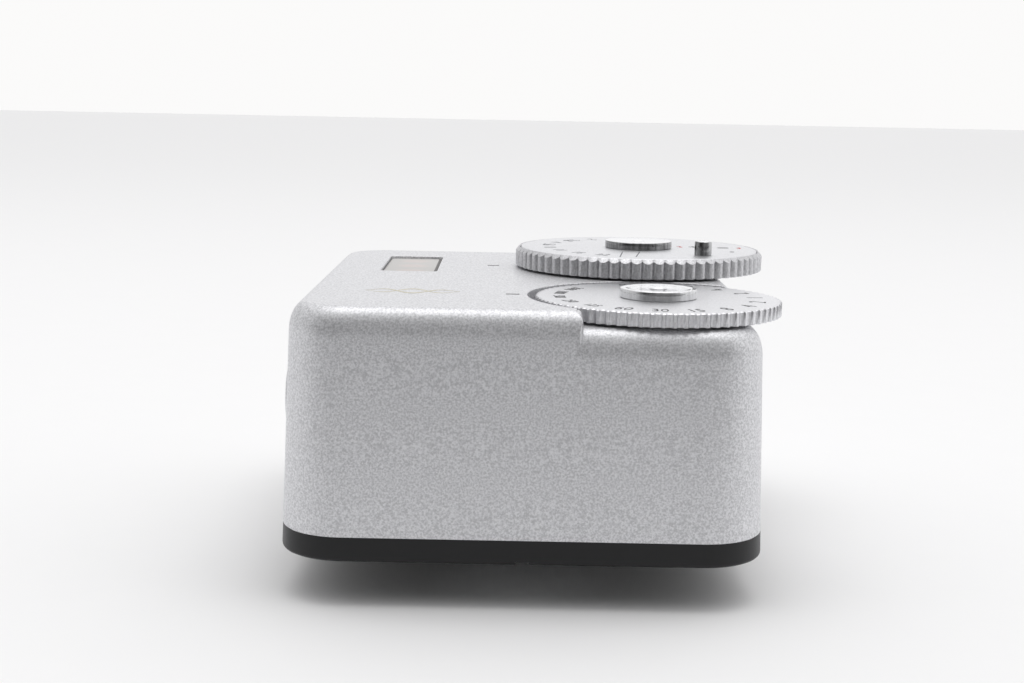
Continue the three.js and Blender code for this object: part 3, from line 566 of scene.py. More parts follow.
def moulded(name, tone, roughness, grain, rise):
    """Moulded plastic with a fine spark-eroded texture."""
    m = Material(name)
    texture = m.noise(m.place(), grain, detail=3.0, roughness=0.6)
    cloud = m.noise(m.place(), 3.0, detail=2.0)
    tone = Vector(tone)
    return m.surface(Base_Color=m.mix(cloud, tone * 0.8, tone * 1.25), Roughness=roughness + texture * 0.12,
                     Specular_IOR_Level=0.32, Normal=m.bump(texture, rise))


def printed(name, tone, wear=0.08):
    """Ink with slightly ragged coverage."""
    m = Material(name)
    ink = m.noise(m.place(), 0.09, detail=2.0)
    tone = Vector(tone)
    paler = tone * (1 - wear) + Vector((wear, wear, wear))
    return m.surface(Base_Color=m.mix(ink.between(0.45, 0.8), tone, paler), Specular_IOR_Level=0.15,
                     Roughness=0.5 + ink * 0.2, Normal=m.bump(ink, 0.002))


def gold_print():
    m = Material("gold_print")
    ink = m.noise(m.place(), 0.12, detail=3.0)
    gold = Vector(colours().gold)
    return m.surface(Base_Color=m.mix(ink.between(0.3, 0.75), gold * 0.75, gold * 1.2), Metallic=0.75,
                     Roughness=0.3 + ink * 0.2, Normal=m.bump(ink, 0.004))


def lamp_pane():
    """Smoky satin pane: the three lamps show through as faint warm spots, and painted shade darkens its left and
    right edges.
    """
    m = Material("diffuser")
    half_x = cad_radius("lamp_window") - PANE_FLANGE
    centre = cad_middle("lamp_window")
    x, y, _ = m.split(m.place((centre.x, centre.y, 0)))
    glow = 0.0
    for lamp in ("lamp_1", "lamp_2", "lamp_3"):
        offset = cad_middle(lamp).y - centre.y
        across = (x / (1.5 * MM)) ** 2.0
        along = ((y - offset * MM) / (1.45 * MM)) ** 2.0
        glow = 1 - (across + along).between(0.15, 1.4) + glow
    # Painted shade: dark bands along the pane's left and right edges stand for the shaded walls of its opening.
    left = (0 - x).between((half_x - 0.25) * MM, (half_x - 0.05) * MM)
    right = x.between((half_x - 0.36) * MM, (half_x - 0.28) * MM)
    haze = m.noise(m.place(), 0.8, detail=3.0)
    body = m.mix(haze, (0.53, 0.52, 0.505), (0.57, 0.555, 0.54))
    lit = m.mix(glow * 0.3, body, (0.72, 0.58, 0.55))
    # The near-black colour is the painted shade on the edge bands.
    colour = m.mix(left * 0.6 + right * 0.94, lit, (0.10, 0.095, 0.09))
    grain = m.noise(m.place(), 0.1, detail=2.0)
    return m.surface(Base_Color=colour, Roughness=0.5 + grain * 0.15, Specular_IOR_Level=0.25,
                     Normal=m.bump(grain, 0.003))


def lens_glass():
    m = Material("glass")
    tone = m.noise(m.place(), 2.0, detail=1.0)
    return m.surface(Base_Color=m.mix(tone, (0.82, 0.88, 0.90), (0.92, 0.94, 0.95)),
                     Roughness=0.03 + tone * 0.04, Transmission_Weight=0.85, IOR=1.49)


def circuit_green():
    """Solder mask over faint copper tracks."""
    m = Material("board_green")
    where = m.place()
    settings = {"feature": "DISTANCE_TO_EDGE", "distance": "EUCLIDEAN"}
    cells = m.add("ShaderNodeTexVoronoi", settings, {"Vector": where, "Scale": 420.0, "Randomness": 0.55})
    track = 1 - cells.between(0.03, 0.09)
    mottle = m.noise(where, 1.2)
    mask = m.mix(mottle, (0.012, 0.085, 0.045), (0.02, 0.12, 0.06))
    return m.surface(Base_Color=m.mix(track, mask, (0.05, 0.20, 0.10)), Roughness=0.3 + mottle * 0.2,
                     Coat_Weight=0.4, Normal=m.bump(track, 0.02))


def lamp_epoxy():
    m = Material("lamp_epoxy")
    cloud = m.noise(m.place(), 0.7, detail=2.0)
    return m.surface(Base_Color=m.mix(cloud, (0.80, 0.60, 0.56), (0.92, 0.78, 0.74)),
                     Roughness=0.22 + cloud * 0.12, Normal=m.bump(cloud, 0.01))


def make_finishes():
    """Every finish, under the name of the record's slot or under one of its own."""
    origin = (0, 0, 0)
    cap_r = cad_radius("aperture_cap")
    silver_paint()
    satin_alloy("satin_alloy", origin, 0.14)
    satin_alloy("aperture_face", APERTURE_AXIS, 0.12)
    satin_alloy("shutter_face", SHUTTER_AXIS, 0.16)
    # shade sets a painted shade on the dial sides; below 1 it darkens the aperture teeth.
    milled_alloy("aperture_teeth", APERTURE_AXIS, shade=0.78, contrast=0.2, rise=0.006)
    milled_alloy("shutter_teeth", SHUTTER_AXIS, shade=1.03, contrast=0.12, rise=0.004)
    polished("chrome", origin)
    # On the caps and the pin, shade darkens their sides as a painted reflection, with streaks.
    polished("aperture_polish", APERTURE_AXIS, cap_r, shade=0.42)
    polished("shutter_polish", SHUTTER_AXIS, cap_r, shade=0.85, reflection_streak=0.2)
    polished("pin_polish", cad_middle("film_speed_pin"), PIN_R, shade=0.55)
    machined("steel", (0.55, 0.555, 0.565), roughness=0.24)
    machined("cover_steel", (0.60, 0.605, 0.61), roughness=0.2, pitch=0.16, centre=BATTERY_AXIS)
    machined("brass", (0.66, 0.48, 0.20), roughness=0.26)
    machined("nickel", (0.66, 0.65, 0.62), roughness=0.16, pitch=0.3, centre=BATTERY_AXIS)
    moulded("black_plastic", colours().base, roughness=0.34, grain=0.2, rise=0.006)
    moulded("black_fibre", (0.012, 0.012, 0.013), roughness=0.7, grain=0.1, rise=0.02)
    moulded("chip_black", (0.02, 0.02, 0.022), roughness=0.45, grain=0.08, rise=0.004)
    lamp_pane()
    lens_glass()
    circuit_green()
    lamp_epoxy()
    printed("black_paint", (0.012, 0.012, 0.013), 0.03)
    printed("number_ink", colours().number)
    printed("faint_ink", colours().faint, 0.2)
    printed("accent_ink", colours().accent, 0.2)
    gold_print()


def dress(obj, finish):
    obj.data.materials.clear()
    obj.data.materials.append(bpy.data.materials[finish])


def settle(obj, body, slot, finish=None, stands_for=()):
    """Gives a finished piece its finish, the slot's own unless another is named, and its body, and hides the frame
    nodes it stands for.
    """
    dress(obj, finish or slot)
    attach(obj, body, stands_for)


def attach(obj, body, stands_for=()):
    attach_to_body(obj, body)
    if stands_for:
        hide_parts(*stands_for)


# ------------------------------------------------------------------ repeating trees
def tree_with(name, inputs):
    """A geometry tree with a geometry input and output and further named inputs."""
    tree = bpy.data.node_groups.new(name, "GeometryNodeTree")
    tree.interface.new_socket("Geometry", in_out="INPUT", socket_type="NodeSocketGeometry")
    for label, kind in inputs:
        tree.interface.new_socket(label, in_out="INPUT", socket_type=kind)
    tree.interface.new_socket("Geometry", in_out="OUTPUT", socket_type="NodeSocketGeometry")
    return tree


def given_wires(g):
    """The tree's inputs by name."""
    source = g.tree.nodes.new("NodeGroupInput")
    return {socket.name: Wire(g, socket) for socket in source.outputs}


def round_tree():
    """Repeats a sector about an upright axis and welds the copies into one skin."""
    tree = tree_with("repeat_round", [("Count", "NodeSocketInt"), ("Centre", "NodeSocketVector"),
                                      ("Weld", "NodeSocketFloat"), ("Material", "NodeSocketMaterial")])
    g = Graph(tree)
    given = given_wires(g)
    line = g.add("GeometryNodeMeshLine", {"mode": "OFFSET"},
                 {"Count": given["Count"], "Start Location": given["Centre"], "Offset": (0, 0, 0)})
    index = g.add("GeometryNodeInputIndex")
    turn = index * math.tau / given["Count"]
    rotation = g.add("ShaderNodeCombineXYZ", inputs={"Z": turn})
    copies = g.add("GeometryNodeInstanceOnPoints",
                   inputs={"Points": line, "Instance": given["Geometry"], "Rotation": rotation})
    finish_tree(g, copies, given)
    return tree


def corners_tree():
    """Sets one piece at the four corners of a rectangle."""
    tree = tree_with("at_corners", [("Pitch X", "NodeSocketFloat"), ("Pitch Y", "NodeSocketFloat"),
                                    ("Weld", "NodeSocketFloat"), ("Material", "NodeSocketMaterial")])
    g = Graph(tree)
    given = given_wires(g)
    grid = g.add("GeometryNodeMeshGrid", inputs={"Size X": given["Pitch X"], "Size Y": given["Pitch Y"],
                                                 "Vertices X": 2, "Vertices Y": 2})
    copies = g.add("GeometryNodeInstanceOnPoints", inputs={"Points": grid, "Instance": given["Geometry"]})
    finish_tree(g, copies, given)
    return tree


def finish_tree(g, copies, given):
    solid = g.add("GeometryNodeRealizeInstances", inputs={"Geometry": copies})
    welded = g.add("GeometryNodeMergeByDistance", inputs={"Geometry": solid, "Distance": given["Weld"]})
    dressed = g.add("GeometryNodeSetMaterial", inputs={"Geometry": welded, "Material": given["Material"]})
    output = g.tree.nodes.new("NodeGroupOutput")
    g.tree.links.new(dressed.socket, output.inputs["Geometry"])


def grow(obj, tree, values):
    """Runs a tree on an object with its inputs set, and keeps the result as plain mesh."""
    modifier = obj.modifiers.new("Repeat", "NODES")
    modifier.node_group = tree
    for item in tree.interface.items_tree:
        if item.in_out == "INPUT" and item.name in values:
            modifier[item.identifier] = values[item.name]
    bake(obj)
    face_outwards(obj)


def around_dial(name, columns, axis, finish):
    """A rim from one sector's columns of points, repeated all the way round a dial's axis."""
    rows = len(columns[0])
    vertices = [point for column in columns for point in column]
    faces = []
    for j in range(len(columns) - 1):
        for i in range(rows):
            after = (i + 1) % rows
            faces.append((j * rows + i, j * rows + after, (j + 1) * rows + after, (j + 1) * rows + i))
    obj = piece(name, vertices, faces)
    grow(obj, round_tree(), {"Count": sizes().teeth, "Centre": (axis.x * MM, axis.y * MM, 0.0),
                             "Weld": 0.002 * MM, "Material": bpy.data.materials[finish]})
    return obj


# ------------------------------------------------------------------ housing and base
def draft_at(z):
    """How far the leaning wall has come in at a height."""
    return (z - SEAM) * math.tan(sizes().draft)


def body_ring(inset, z, steps=20):
    radius = sizes().corner / MM - inset
    outline = rounded_rectangle(HALF_X - inset, HALF_Y - inset, radius, steps)
    return [(x, y, z) for x, y in outline]


def rounded_top(deck, steps=12):
    edge, depth = sizes().edge / MM, sizes().edge_depth / MM
    start = deck - edge
    rings = []
    for i in range(steps + 1):
        angle = i / steps * math.pi / 2
        inset = draft_at(start) + depth * (1 - math.cos(angle))
        rings.append(body_ring(inset, start + edge * math.sin(angle)))
    return rings


def pocket_outline(radius):
    """A circle about the shutter dial that opens to the near face, round its corner, and to the side."""
    x, y = SHUTTER_AXIS.x, SHUTTER_AXIS.y
    half = math.acos(POCKET_MOUTH / radius)
    face = draft_at(UPPER_DECK) - HALF_Y
    wall = x - POCKET_MOUTH
    outline = arc(radius, 0, math.pi + half, 150, (x, y))
    corner = arc(MOUTH_FILLET, 0, -math.pi / 2, 8, (wall - MOUTH_FILLET, face + MOUTH_FILLET))
    return [(x + radius, y - 2 * radius), *outline, *corner, (wall - MOUTH_FILLET, y - 2 * radius)]


def mouth_shoulder():
    """Rounds the deck down to the wall of the pocket's mouth, less and less away from the near face."""
    wall = SHUTTER_AXIS.x - POCKET_MOUTH
    sections = []
    clear = 0.2
    for inward, radius in ((-0.5, 1.2), (1.5, 1.0), (2.6, 0.6), (3.6, 0.02)):
        curve = arc(radius, 0, math.pi / 2, 8, (wall - radius, UPPER_DECK - radius))
        outline = [(wall + clear, UPPER_DECK - radius), *curve, (wall - radius, UPPER_DECK + clear),
                   (wall + clear, UPPER_DECK + clear)]
        sections.append([(x, -HALF_Y + inward, z) for x, z in outline])
    return loft("shoulder", sections)


def housing_shell():
    """The hollow top housing with its pocket, posts, bores and recesses."""
    size = sizes()
    wall, lower = size.wall / MM, UPPER_DECK - size.deck_step / MM
    pocket_floor = lower - size.edge / MM
    roof = lower - DECK_THICKNESS
    above = UPPER_DECK + 1
    shell = loft("top_shell", [body_ring(0, SEAM), body_ring(draft_at(pocket_floor), pocket_floor),
                               *rounded_top(UPPER_DECK)])
    pocket_radius = cad_radius("shutter_disc") + size.pocket_gap / MM
    pocket = prism("pocket", pocket_outline(pocket_radius), pocket_floor, above)
    lower_block = loft("lower_block", [body_ring(wall / 2, pocket_floor - 1), *rounded_top(lower)])
    carve(pocket, lower_block)
    carve(shell, pocket)
    carve(shell, mouth_shoulder())

    post_x, post_y = HALF_X - POST_INSET, HALF_Y - POST_INSET
    posts = [(post_x, post_y), (post_x, -post_y), (-post_x, post_y), (-post_x, -post_y)]
    board_screws = [cad_middle(node) for node in ("board_screw_1", "board_screw_2")]
    board_top = cad_box("circuit_board")[1].z
    below = SEAM - 1
    inside = loft("inside", [body_ring(wall + draft_at(z), z, 8) for z in (below, roof)])
    pillars = [prism("post", circle(POST_R, 32, at), SEAM, roof + 1) for at in posts]
    pillars += [prism("standoff", circle(STANDOFF_R, 24, screw.xy), board_top, roof + 1)
                for screw in board_screws]
    boss_floor = lower - DETENT_DEPTH - DETENT_BOSS_FLOOR
    boss_place = (SHUTTER_AXIS.x - DETENT_ORBIT, SHUTTER_AXIS.y)
    pillars.append(prism("boss", circle(DETENT_BOSS_R, 24, boss_place), boss_floor, roof + 1))
    carve(inside, joined("pillars", pillars))
    carve(shell, inside)

    holes = [prism("screw_bore", circle(SCREW_BORE_R, 20, at), below, SEAM + 5) for at in posts]
    for axis, deck in ((APERTURE_AXIS, UPPER_DECK), (SHUTTER_AXIS, lower)):
        recess = deck - WASHER_RECESS
        profile = [(0, roof - 1), (BUSH_HOLE_R, roof - 1), (BUSH_HOLE_R, recess), (WASHER_RECESS_R, recess),
                   (WASHER_RECESS_R, deck + 0.1), (0, deck + 0.1)]
        holes.append(lathe("recess", profile, axis, 64))
        place = (axis.x - DETENT_ORBIT, axis.y)
        holes.append(prism("detent_bore", circle(DETENT_BORE_R, 24, place), deck - DETENT_DEPTH, deck + 0.1))
    for node in ("aperture_index_mark", "shutter_index_mark"):
        low, high = cad_box(node)
        margin = Vector((SEAT, SEAT, 0)) / 2
        holes.append(box("mark_pocket", low - margin, high + margin + Vector((0, 0, 1))))
    low, high = cad_box("lamp_window")
    middle = cad_middle("lamp_window")
    half = (high - low) / 2
    shrink = PANE_FLANGE - SEAT / 2
    outline = rounded_rectangle(half.x - shrink, half.y - shrink, 0.55, 8, (middle.x, middle.y))
    holes.append(prism("window_hole", outline, roof - 1, above))
    carve(shell, joined("holes", holes))

    side_holes = []
    low, high = cad_box("sensor_bezel")
    bezel_hole = (high.z - low.z) / 2 + SEAT
    openings = [("measuring_button", KEY_R + RUN, -HALF_X), ("sensor_bezel", bezel_hole, HALF_X)]
    for node, radius, face in openings:
        middle = cad_middle(node)
        tool = prism("side_hole", circle(radius, 64), -3, 3)
        side_holes.append(lay_along_x(tool, face, middle.y, middle.z))
    carve(shell, joined("side_holes", side_holes))
    crisp_edges(shell, lower)
    return shell


def crisp_edges(shell, lower):
    """Bevels only the cut edges that show from outside."""
    mesh = shell.data
    work = bmesh.new()
    work.from_mesh(mesh)
    bmesh.ops.dissolve_degenerate(work, edges=work.edges, dist=0.0005 * MM)
    weights = work.edges.layers.float.new("bevel_weight_edge")
    for edge in work.edges:
        if len(edge.link_faces) != 2:
            continue
        angle = edge.calc_face_angle(0.0)
        edge.smooth = angle < math.radians(32)
        middle = (edge.verts[0].co + edge.verts[1].co) / 2 / MM
        on_deck = middle.z > lower - 0.02
        on_side = abs(middle.x) > HALF_X - 0.9 and middle.z < lower
        if angle > math.radians(50) and (on_deck or on_side):
            edge[weights] = 1.0
    work.to_mesh(mesh)
    work.free()
    bevel = shell.modifiers.new("Crisp", "BEVEL")
    bevel.limit_method = "WEIGHT"
    bevel.width = sizes().crisp_edge
    bevel.segments = 2
    bevel.use_clamp_overlap = False
    for polygon in mesh.polygons:
        polygon.use_smooth = True
    normals = shell.modifiers.new("Flats", "WEIGHTED_NORMAL")
    normals.keep_sharp = True
    bake(shell)


def base_tray():
    """The black base plate with its rounded lower edge, screw holes, battery hole and notch."""
    edge, steps = 0.35, 5
    low, high = BASE_LOW.z, SEAM
    rings = []
    for i in range(steps + 1):
        angle = i / steps * math.pi / 2
        inset = draft_at(low + edge) + edge * (1 - math.sin(angle))
        rings.append(body_ring(inset, low + edge * (1 - math.cos(angle))))
    rings.append(body_ring(0, high))
    tray = loft("base_tray", rings)
    ribs = []
    rib_inset, rib_half, rib_reach, rib_root = 0.55, 0.4, 13, 0.5
    for side in (-1, 1):
        x = side * (HALF_X - sizes().wall / MM - rib_inset)
        rib_low = (x - rib_half, -rib_reach, high - rib_root)
        ribs.append(box("rib", rib_low, (x + rib_half, rib_reach, BASE_HIGH.z)))
    carve(tray, joined("ribs", ribs), "UNION")
    cover_low, cover_high = cad_box("battery_cover")
    lug_r = cad_radius("battery_cover")
    ledge = cover_low.z + 1.1
    centre = (BATTERY_AXIS.x, BATTERY_AXIS.y)
    cover_r = (cover_high.y - cover_low.y) / 2
    profile = [(0, low - 1), (cover_r + RUN, low - 1), (cover_r + RUN, ledge), (lug_r + RUN, ledge),
               (lug_r + RUN, high + 0.1), (0, high + 0.1)]
    holes = [lathe("battery_hole", profile, centre, 96)]
    holes += screw_holes("base_screw", low, high + 0.1)
    holes += [prism("foot_bore", circle(SCREW_BORE_R, 24, at), low - 1, high + 0.1)
              for at in screw_places("foot_screw")]
    notch_y = -HALF_Y - 0.1
    wide, narrow, under, roof = 0.63, 0.5, low - 0.3, low + 0.24
    notch = [(-wide, under), (wide, under), (narrow, roof), (-narrow, roof)]
    vertices = [(x, y, z) for y in (notch_y - 0.4, notch_y + 0.95) for x, z in notch]
    faces = [(0, 1, 2, 3), (7, 6, 5, 4), (0, 4, 5, 1), (1, 5, 6, 2), (2, 6, 7, 3), (3, 7, 4, 0)]
    holes.append(piece("thumb_notch", vertices, faces))
    carve(tray, joined("holes", holes))
    for bearing in (-math.radians(60), math.radians(120)):
        outline = sector(cover_r - 1, lug_r + RUN, bearing, LUG_HALF + 0.05, centre)
        carve(tray, prism("entry", outline, low - 1, high + 0.05))
    soften(tray, 0.05, 50)
    return tray


def screw_places(prefix):
    """Middles of the four screws of a group, in millimetres."""
    return [tuple(cad_middle(f"{prefix}_{i}").xy) for i in range(1, 5)]


def screw_holes(prefix, low, high):
    seat = low + SCREW_HEAD_DEPTH
    profile = [(0, low - 1), (SCREW_HEAD_R, low - 1), (SCREW_HEAD_R, seat), (SCREW_BORE_R, seat),
               (SCREW_BORE_R, high), (0, high)]
    return [lathe("screw_hole", profile, at, 32) for at in screw_places(prefix)]


def cross_screws(name, prefix):
    """Four countersunk cross-head screws with their heads down."""
    low, high = cad_box(f"{prefix}_1")
    head_r = (high.x - low.x) / 2
    shank_r, tip_r, tip = 0.8, 0.5, 0.3
    reach = high.z - low.z
    profile = [(0, 0.05), (head_r * 0.75, 0), (head_r, 0.12), (head_r, 0.36), (shank_r, SCREW_HEAD_DEPTH),
               (shank_r, reach - tip), (tip_r, reach), (0, reach)]
    screw = lathe(name, filleted(profile, {2: 0.08, 3: 0.06}), (0, 0), 40)
    for half_x, half_y in ((1.05, 0.19), (0.19, 1.05)):
        recess = loft("recess", [[(sx * (half_x + 0.1), sy * (half_y + 0.1), -0.2) for sx, sy in SQUARE],
                                 [(sx * half_x * 0.55, sy * half_y * 0.8, 0.55) for sx, sy in SQUARE]])
        carve(screw, recess)
    screw.data.transform(Matrix.Translation((0, 0, low.z * MM)))
    places = screw_places(prefix)
    pitch_x = max(x for x, y in places) - min(x for x, y in places)
    pitch_y = max(y for x, y in places) - min(y for x, y in places)
    grow(screw, corners_tree(), {"Pitch X": pitch_x * MM, "Pitch Y": pitch_y * MM, "Weld": 0.0005 * MM,
                                 "Material": bpy.data.materials["steel"]})
    smooth(screw, 35)
    attach(screw, "housing", [f"{prefix}_{i}" for i in range(1, 5)])


# ------------------------------------------------------------------ dials
def aperture_rim():
    """The toothed ring: rounded lands with sharp grooves, a bevelled top and the plate's recess."""
    low, high = cad_box("aperture_ring")
    radius = (high.x - low.x) / 2
    rim, bevel, foot = 0.41, 0.37, 0.08
    recess = cad_box("film_speed_plate")[0].z - RUN
    inner = radius - rim
    half_pitch = math.pi / sizes().teeth
    columns = []
    steps = 14
    for j in range(steps + 1):
        t = j / steps * 2 - 1
        r = radius - sizes().tooth_depth / MM * abs(t) ** 2.2
        shoulder = high.z - bevel * (r - inner) / rim
        rows = [(SHAFT_HOLE_R, low.z), (r - foot, low.z), (r, low.z + foot), (r, shoulder - 0.03),
                (r - 0.03, shoulder + 0.01), (inner + 0.08, high.z - 0.02), (inner - 0.01, high.z - 0.12),
                (inner - 0.01, recess), (SHAFT_HOLE_R, recess)]
        angle = t * half_pitch
        columns.append([(p * math.cos(angle), p * math.sin(angle), z) for p, z in rows])
    ring = around_dial("aperture_rim", columns, APERTURE_AXIS, "aperture_teeth")
    pin = cad_middle("film_speed_pin") - APERTURE_AXIS
    orbit, bearing = math.hypot(pin.x, pin.y), math.atan2(pin.y, pin.x)
    half = 0.68
    travel = PIN_TRAVEL + half / orbit
    outline = sector(orbit - half, orbit + half, bearing, travel, APERTURE_AXIS.xy, 48)
    carve(ring, prism("groove", outline, cad_box("film_speed_pin")[0].z - SEAT, recess + 1))
    smooth(ring, 28)
    attach(ring, "aperture_dial", ["aperture_ring"])


def film_plate():
    low, high = cad_box("film_speed_plate")
    radius = (high.x - low.x) / 2
    hole = SHAFT_HOLE_R + 0.03
    profile = filleted([(hole, low.z), (radius, low.z), (radius, high.z), (hole, high.z)], {1: 0.05, 2: 0.12})
    plate = lathe("film_speed_face", profile, APERTURE_AXIS, 180, closed=True)
    pin_low, pin_high = cad_box("film_speed_pin")
    middle = cad_middle("film_speed_pin")
    carve(plate, prism("pin_hole", circle(0.55, 32, (middle.x, middle.y)), low.z - 1, high.z + 1))
    smooth(plate)
    settle(plate, "film_speed_dial", "satin_alloy", "aperture_face", ["film_speed_plate"])

    top = pin_high.z
    radius = (pin_high.x - pin_low.x) / 2
    profile = [(0, pin_low.z), (0.5, pin_low.z), (0.5, high.z), (radius, high.z), (radius, top), (0, top)]
    pin = lathe("film_speed_peg", filleted(profile, {3: 0.05, 4: 0.16}), (middle.x, middle.y), 64)
    smooth(pin)
    settle(pin, "film_speed_dial", "chrome", "pin_polish", ["film_speed_pin"])


def shutter_wheel():
    """The scalloped disc: shallow hollows between narrow flat ridges, with a fine top chamfer."""
    low, high = cad_box("shutter_disc")
    radius = (high.x - low.x) / 2
    half_pitch = math.pi / sizes().teeth
    ridge = 0.76
    foot, chamfer = 0.06, 0.09
    spots = [-1, -0.88] + [ridge * (i / 6 - 1) for i in range(13)] + [0.88, 1]
    columns = []
    for t in spots:
        hollow = max(0.0, 1 - (t / ridge) ** 2) ** 0.8
        r = radius - sizes().tooth_depth / MM * hollow
        rows = [(SHAFT_HOLE_R, low.z), (r - foot, low.z), (r, low.z + foot), (r, high.z - chamfer),
                (r - chamfer, high.z), (SHAFT_HOLE_R, high.z)]
        angle = t * half_pitch
        columns.append([(p * math.cos(angle), p * math.sin(angle), z) for p, z in rows])
    wheel = around_dial("shutter_wheel", columns, SHUTTER_AXIS, "shutter_teeth")
    wheel.data.materials.append(bpy.data.materials["shutter_face"])
    for polygon in wheel.data.polygons:
        if polygon.normal.z > 0.5:
            polygon.material_index = 1
    smooth(wheel, 30)
    attach(wheel, "shutter_dial", ["shutter_disc"])


def hub_cap(name, node, axis, body, finish):
    """A polished cap with a shallow dish and a small dimple in the middle."""
    low, high = cad_box(node)
    radius = (high.x - low.x) / 2
    top = high.z
    dish, dimple = top - 0.05, top - 0.26
    profile = [(0, low.z), (radius, low.z), (radius, top), (radius - 0.45, top), (radius - 0.75, dish),
               (0.62, dish), (0.25, dimple), (0, dimple)]
    cap = lathe(name, filleted(profile, {1: 0.04, 2: 0.10, 3: 0.3, 4: 0.3, 5: 0.05}), axis, 128)
    smooth(cap)
    settle(cap, body, "chrome", finish, [node])


# ------------------------------------------------------------------ print on the dials and the deck
def printed_text(text, height, place, bearing, squeeze):
    """One number as mesh, lying flat with its middle at a place and its top along a bearing."""
    curve = bpy.data.curves.new("number", "FONT")
    curve.body = text
    curve.size = height * MM / 0.72
    curve.align_x = "CENTER"
    curve.align_y = "CENTER"
    curve.extrude = PRINT_RISE * MM / 2
    curve.offset = -0.02 * MM
    curve.resolution_u = 3
    holder = linked("number", curve)
    bpy.context.view_layer.update()
    mesh = bpy.data.meshes.new_from_object(holder.evaluated_get(bpy.context.evaluated_depsgraph_get()))
    bpy.data.objects.remove(holder)
    turn = Matrix.Rotation(bearing - math.pi / 2, 4, "Z") @ Matrix.Diagonal((squeeze, 1, 1, 1))
    mesh.transform(Matrix.Translation(Vector(place) * MM) @ turn)
    return linked("number", mesh)


def printed_bar(start, end, width, z):
    """A thin printed line between two points."""
    start, end = Vector(start), Vector(end)
    along = (end - start).normalized()
    across = Vector((-along.y, along.x)) * width / 2
    outline = [start + across, start - across, end - across, end + across]
    return prism("bar", [tuple(p) for p in outline], z, z + PRINT_RISE)


def number_row(numbers, axis, orbit, first, step, top, squeeze):
    """Numbers with their heights, round an axis from a first bearing, with their tops towards it."""
    parts = []
    for i, (label, height) in enumerate(numbers):
        bearing = math.radians(first + step * i)
        place = (axis.x + orbit * math.cos(bearing), axis.y + orbit * math.sin(bearing), top + PRINT_RISE / 2)
        parts.append(printed_text(label, height, place, bearing + math.pi, squeeze))
    return parts


def shutter_numbers():
    """Exposure times round the shutter dial, with their tops towards the middle."""
    top = cad_box("shutter_disc")[1].z
    labels = "2000 1000 500 250 125 60 30 15 8 4 2 1 2 4 8 15 B".split()
    height = sizes().number_height / MM
    numbers = [(label, height * (0.7 if len(label) > 2 else 1.0)) for label in labels]
    parts = number_row(numbers, SHUTTER_AXIS, 8.15, 146, 20, top, 0.72)
    settle(joined("shutter_numbers", parts), "shutter_dial", "black_paint", "number_ink")


def aperture_numbers():
    """Aperture numbers and the two guide lines on the film speed plate."""
    top = cad_box("film_speed_plate")[1].z
    numbers = [(label, 1.25) for label in "1.4 2 2.8 4 5.6 8 11 16 22".split()]
    parts = number_row(numbers, APERTURE_AXIS, 8.6, 100, 18, top, 0.75)
    parts.append(printed_bar((9.0, 4.3), (8.44, -0.5), 0.11, top))
    parts.append(printed_bar((10.6, 4.6), (9.9, -0.2), 0.11, top))
    settle(joined("aperture_numbers", parts), "film_speed_dial", "black_paint", "faint_ink")

    signs = [printed_bar((18.5, 10.05), (19.5, 10.2), 0.5, top),
             printed_bar((15.75, 10.5), (16.65, 10.55), 0.22, top),
             printed_bar((16.18, 10.92), (16.22, 10.63), 0.22, top),
             printed_bar((16.18, 10.42), (16.22, 10.12), 0.22, top),
             prism("dot", circle(0.22, 20, (19.35, 6.24)), top, top + PRINT_RISE)]
    settle(joined("compensation_signs", signs), "film_speed_dial", "black_paint", "number_ink")
    accents = [printed_text("3", 1.1, (14.9, 10.3, top + PRINT_RISE / 2), math.radians(100), 0.8),
               printed_text("3", 1.1, (20.5, 10.0, top + PRINT_RISE / 2), math.radians(80), 0.8)]
    settle(joined("compensation_limits", accents), "film_speed_dial", "black_paint", "accent_ink")


def deck_ornament():
    """Two thin gold ribbons that cross like a plait, printed on the deck."""
    centre = Vector((-9.3, -12.0))
    reach, sway, turns, width = 3.9, 1.35, 1.5, 0.5
    steps = 60
    parts = []
    for side in (-1, 1):
        outline = []
        for edge in (1, -1):
            for i in range(steps + 1):
                t = i / steps if edge > 0 else 1 - i / steps
                taper = math.sin(math.pi * min(max(t, 0.03), 0.97))
                swing = side * sway * math.sin(math.tau * turns * t) * taper ** 0.5
                outline.append((centre.x + (2 * t - 1) * reach, centre.y + swing + edge * width * taper / 2))
        lift = PRINT_RISE / 4 * (side + 1)
        parts.append(prism("ribbon", outline, UPPER_DECK, UPPER_DECK + PRINT_RISE / 2 + lift))
    settle(joined("deck_ornament", parts), "housing", "brass", "gold_print")


# ------------------------------------------------------------------ window, key, sensor, shoe, battery cover
def read_out_pane():
    low, high = cad_box("lamp_window")
    flange_top = low.z + 0.8
    centre = cad_middle("lamp_window").xy
    half = (high - low) / 2
    edge = 0.12
    rings = []
    for inset, radius, z in ((0, 0.6, low.z), (0, 0.6, flange_top), (PANE_FLANGE, 0.5, flange_top),
                             (PANE_FLANGE, 0.5, high.z - edge),
                             (PANE_FLANGE + edge * 0.3, 0.48, high.z - edge * 0.3),
                             (PANE_FLANGE + edge, 0.4, high.z)):
        outline = rounded_rectangle(half.x - inset, half.y - inset, radius, 8, centre)
        rings.append([(x, y, z) for x, y in outline])
    pane = loft("read_out_pane", rings)
    smooth(pane, 40)
    settle(pane, "housing", "diffuser", stands_for=["lamp_window"])


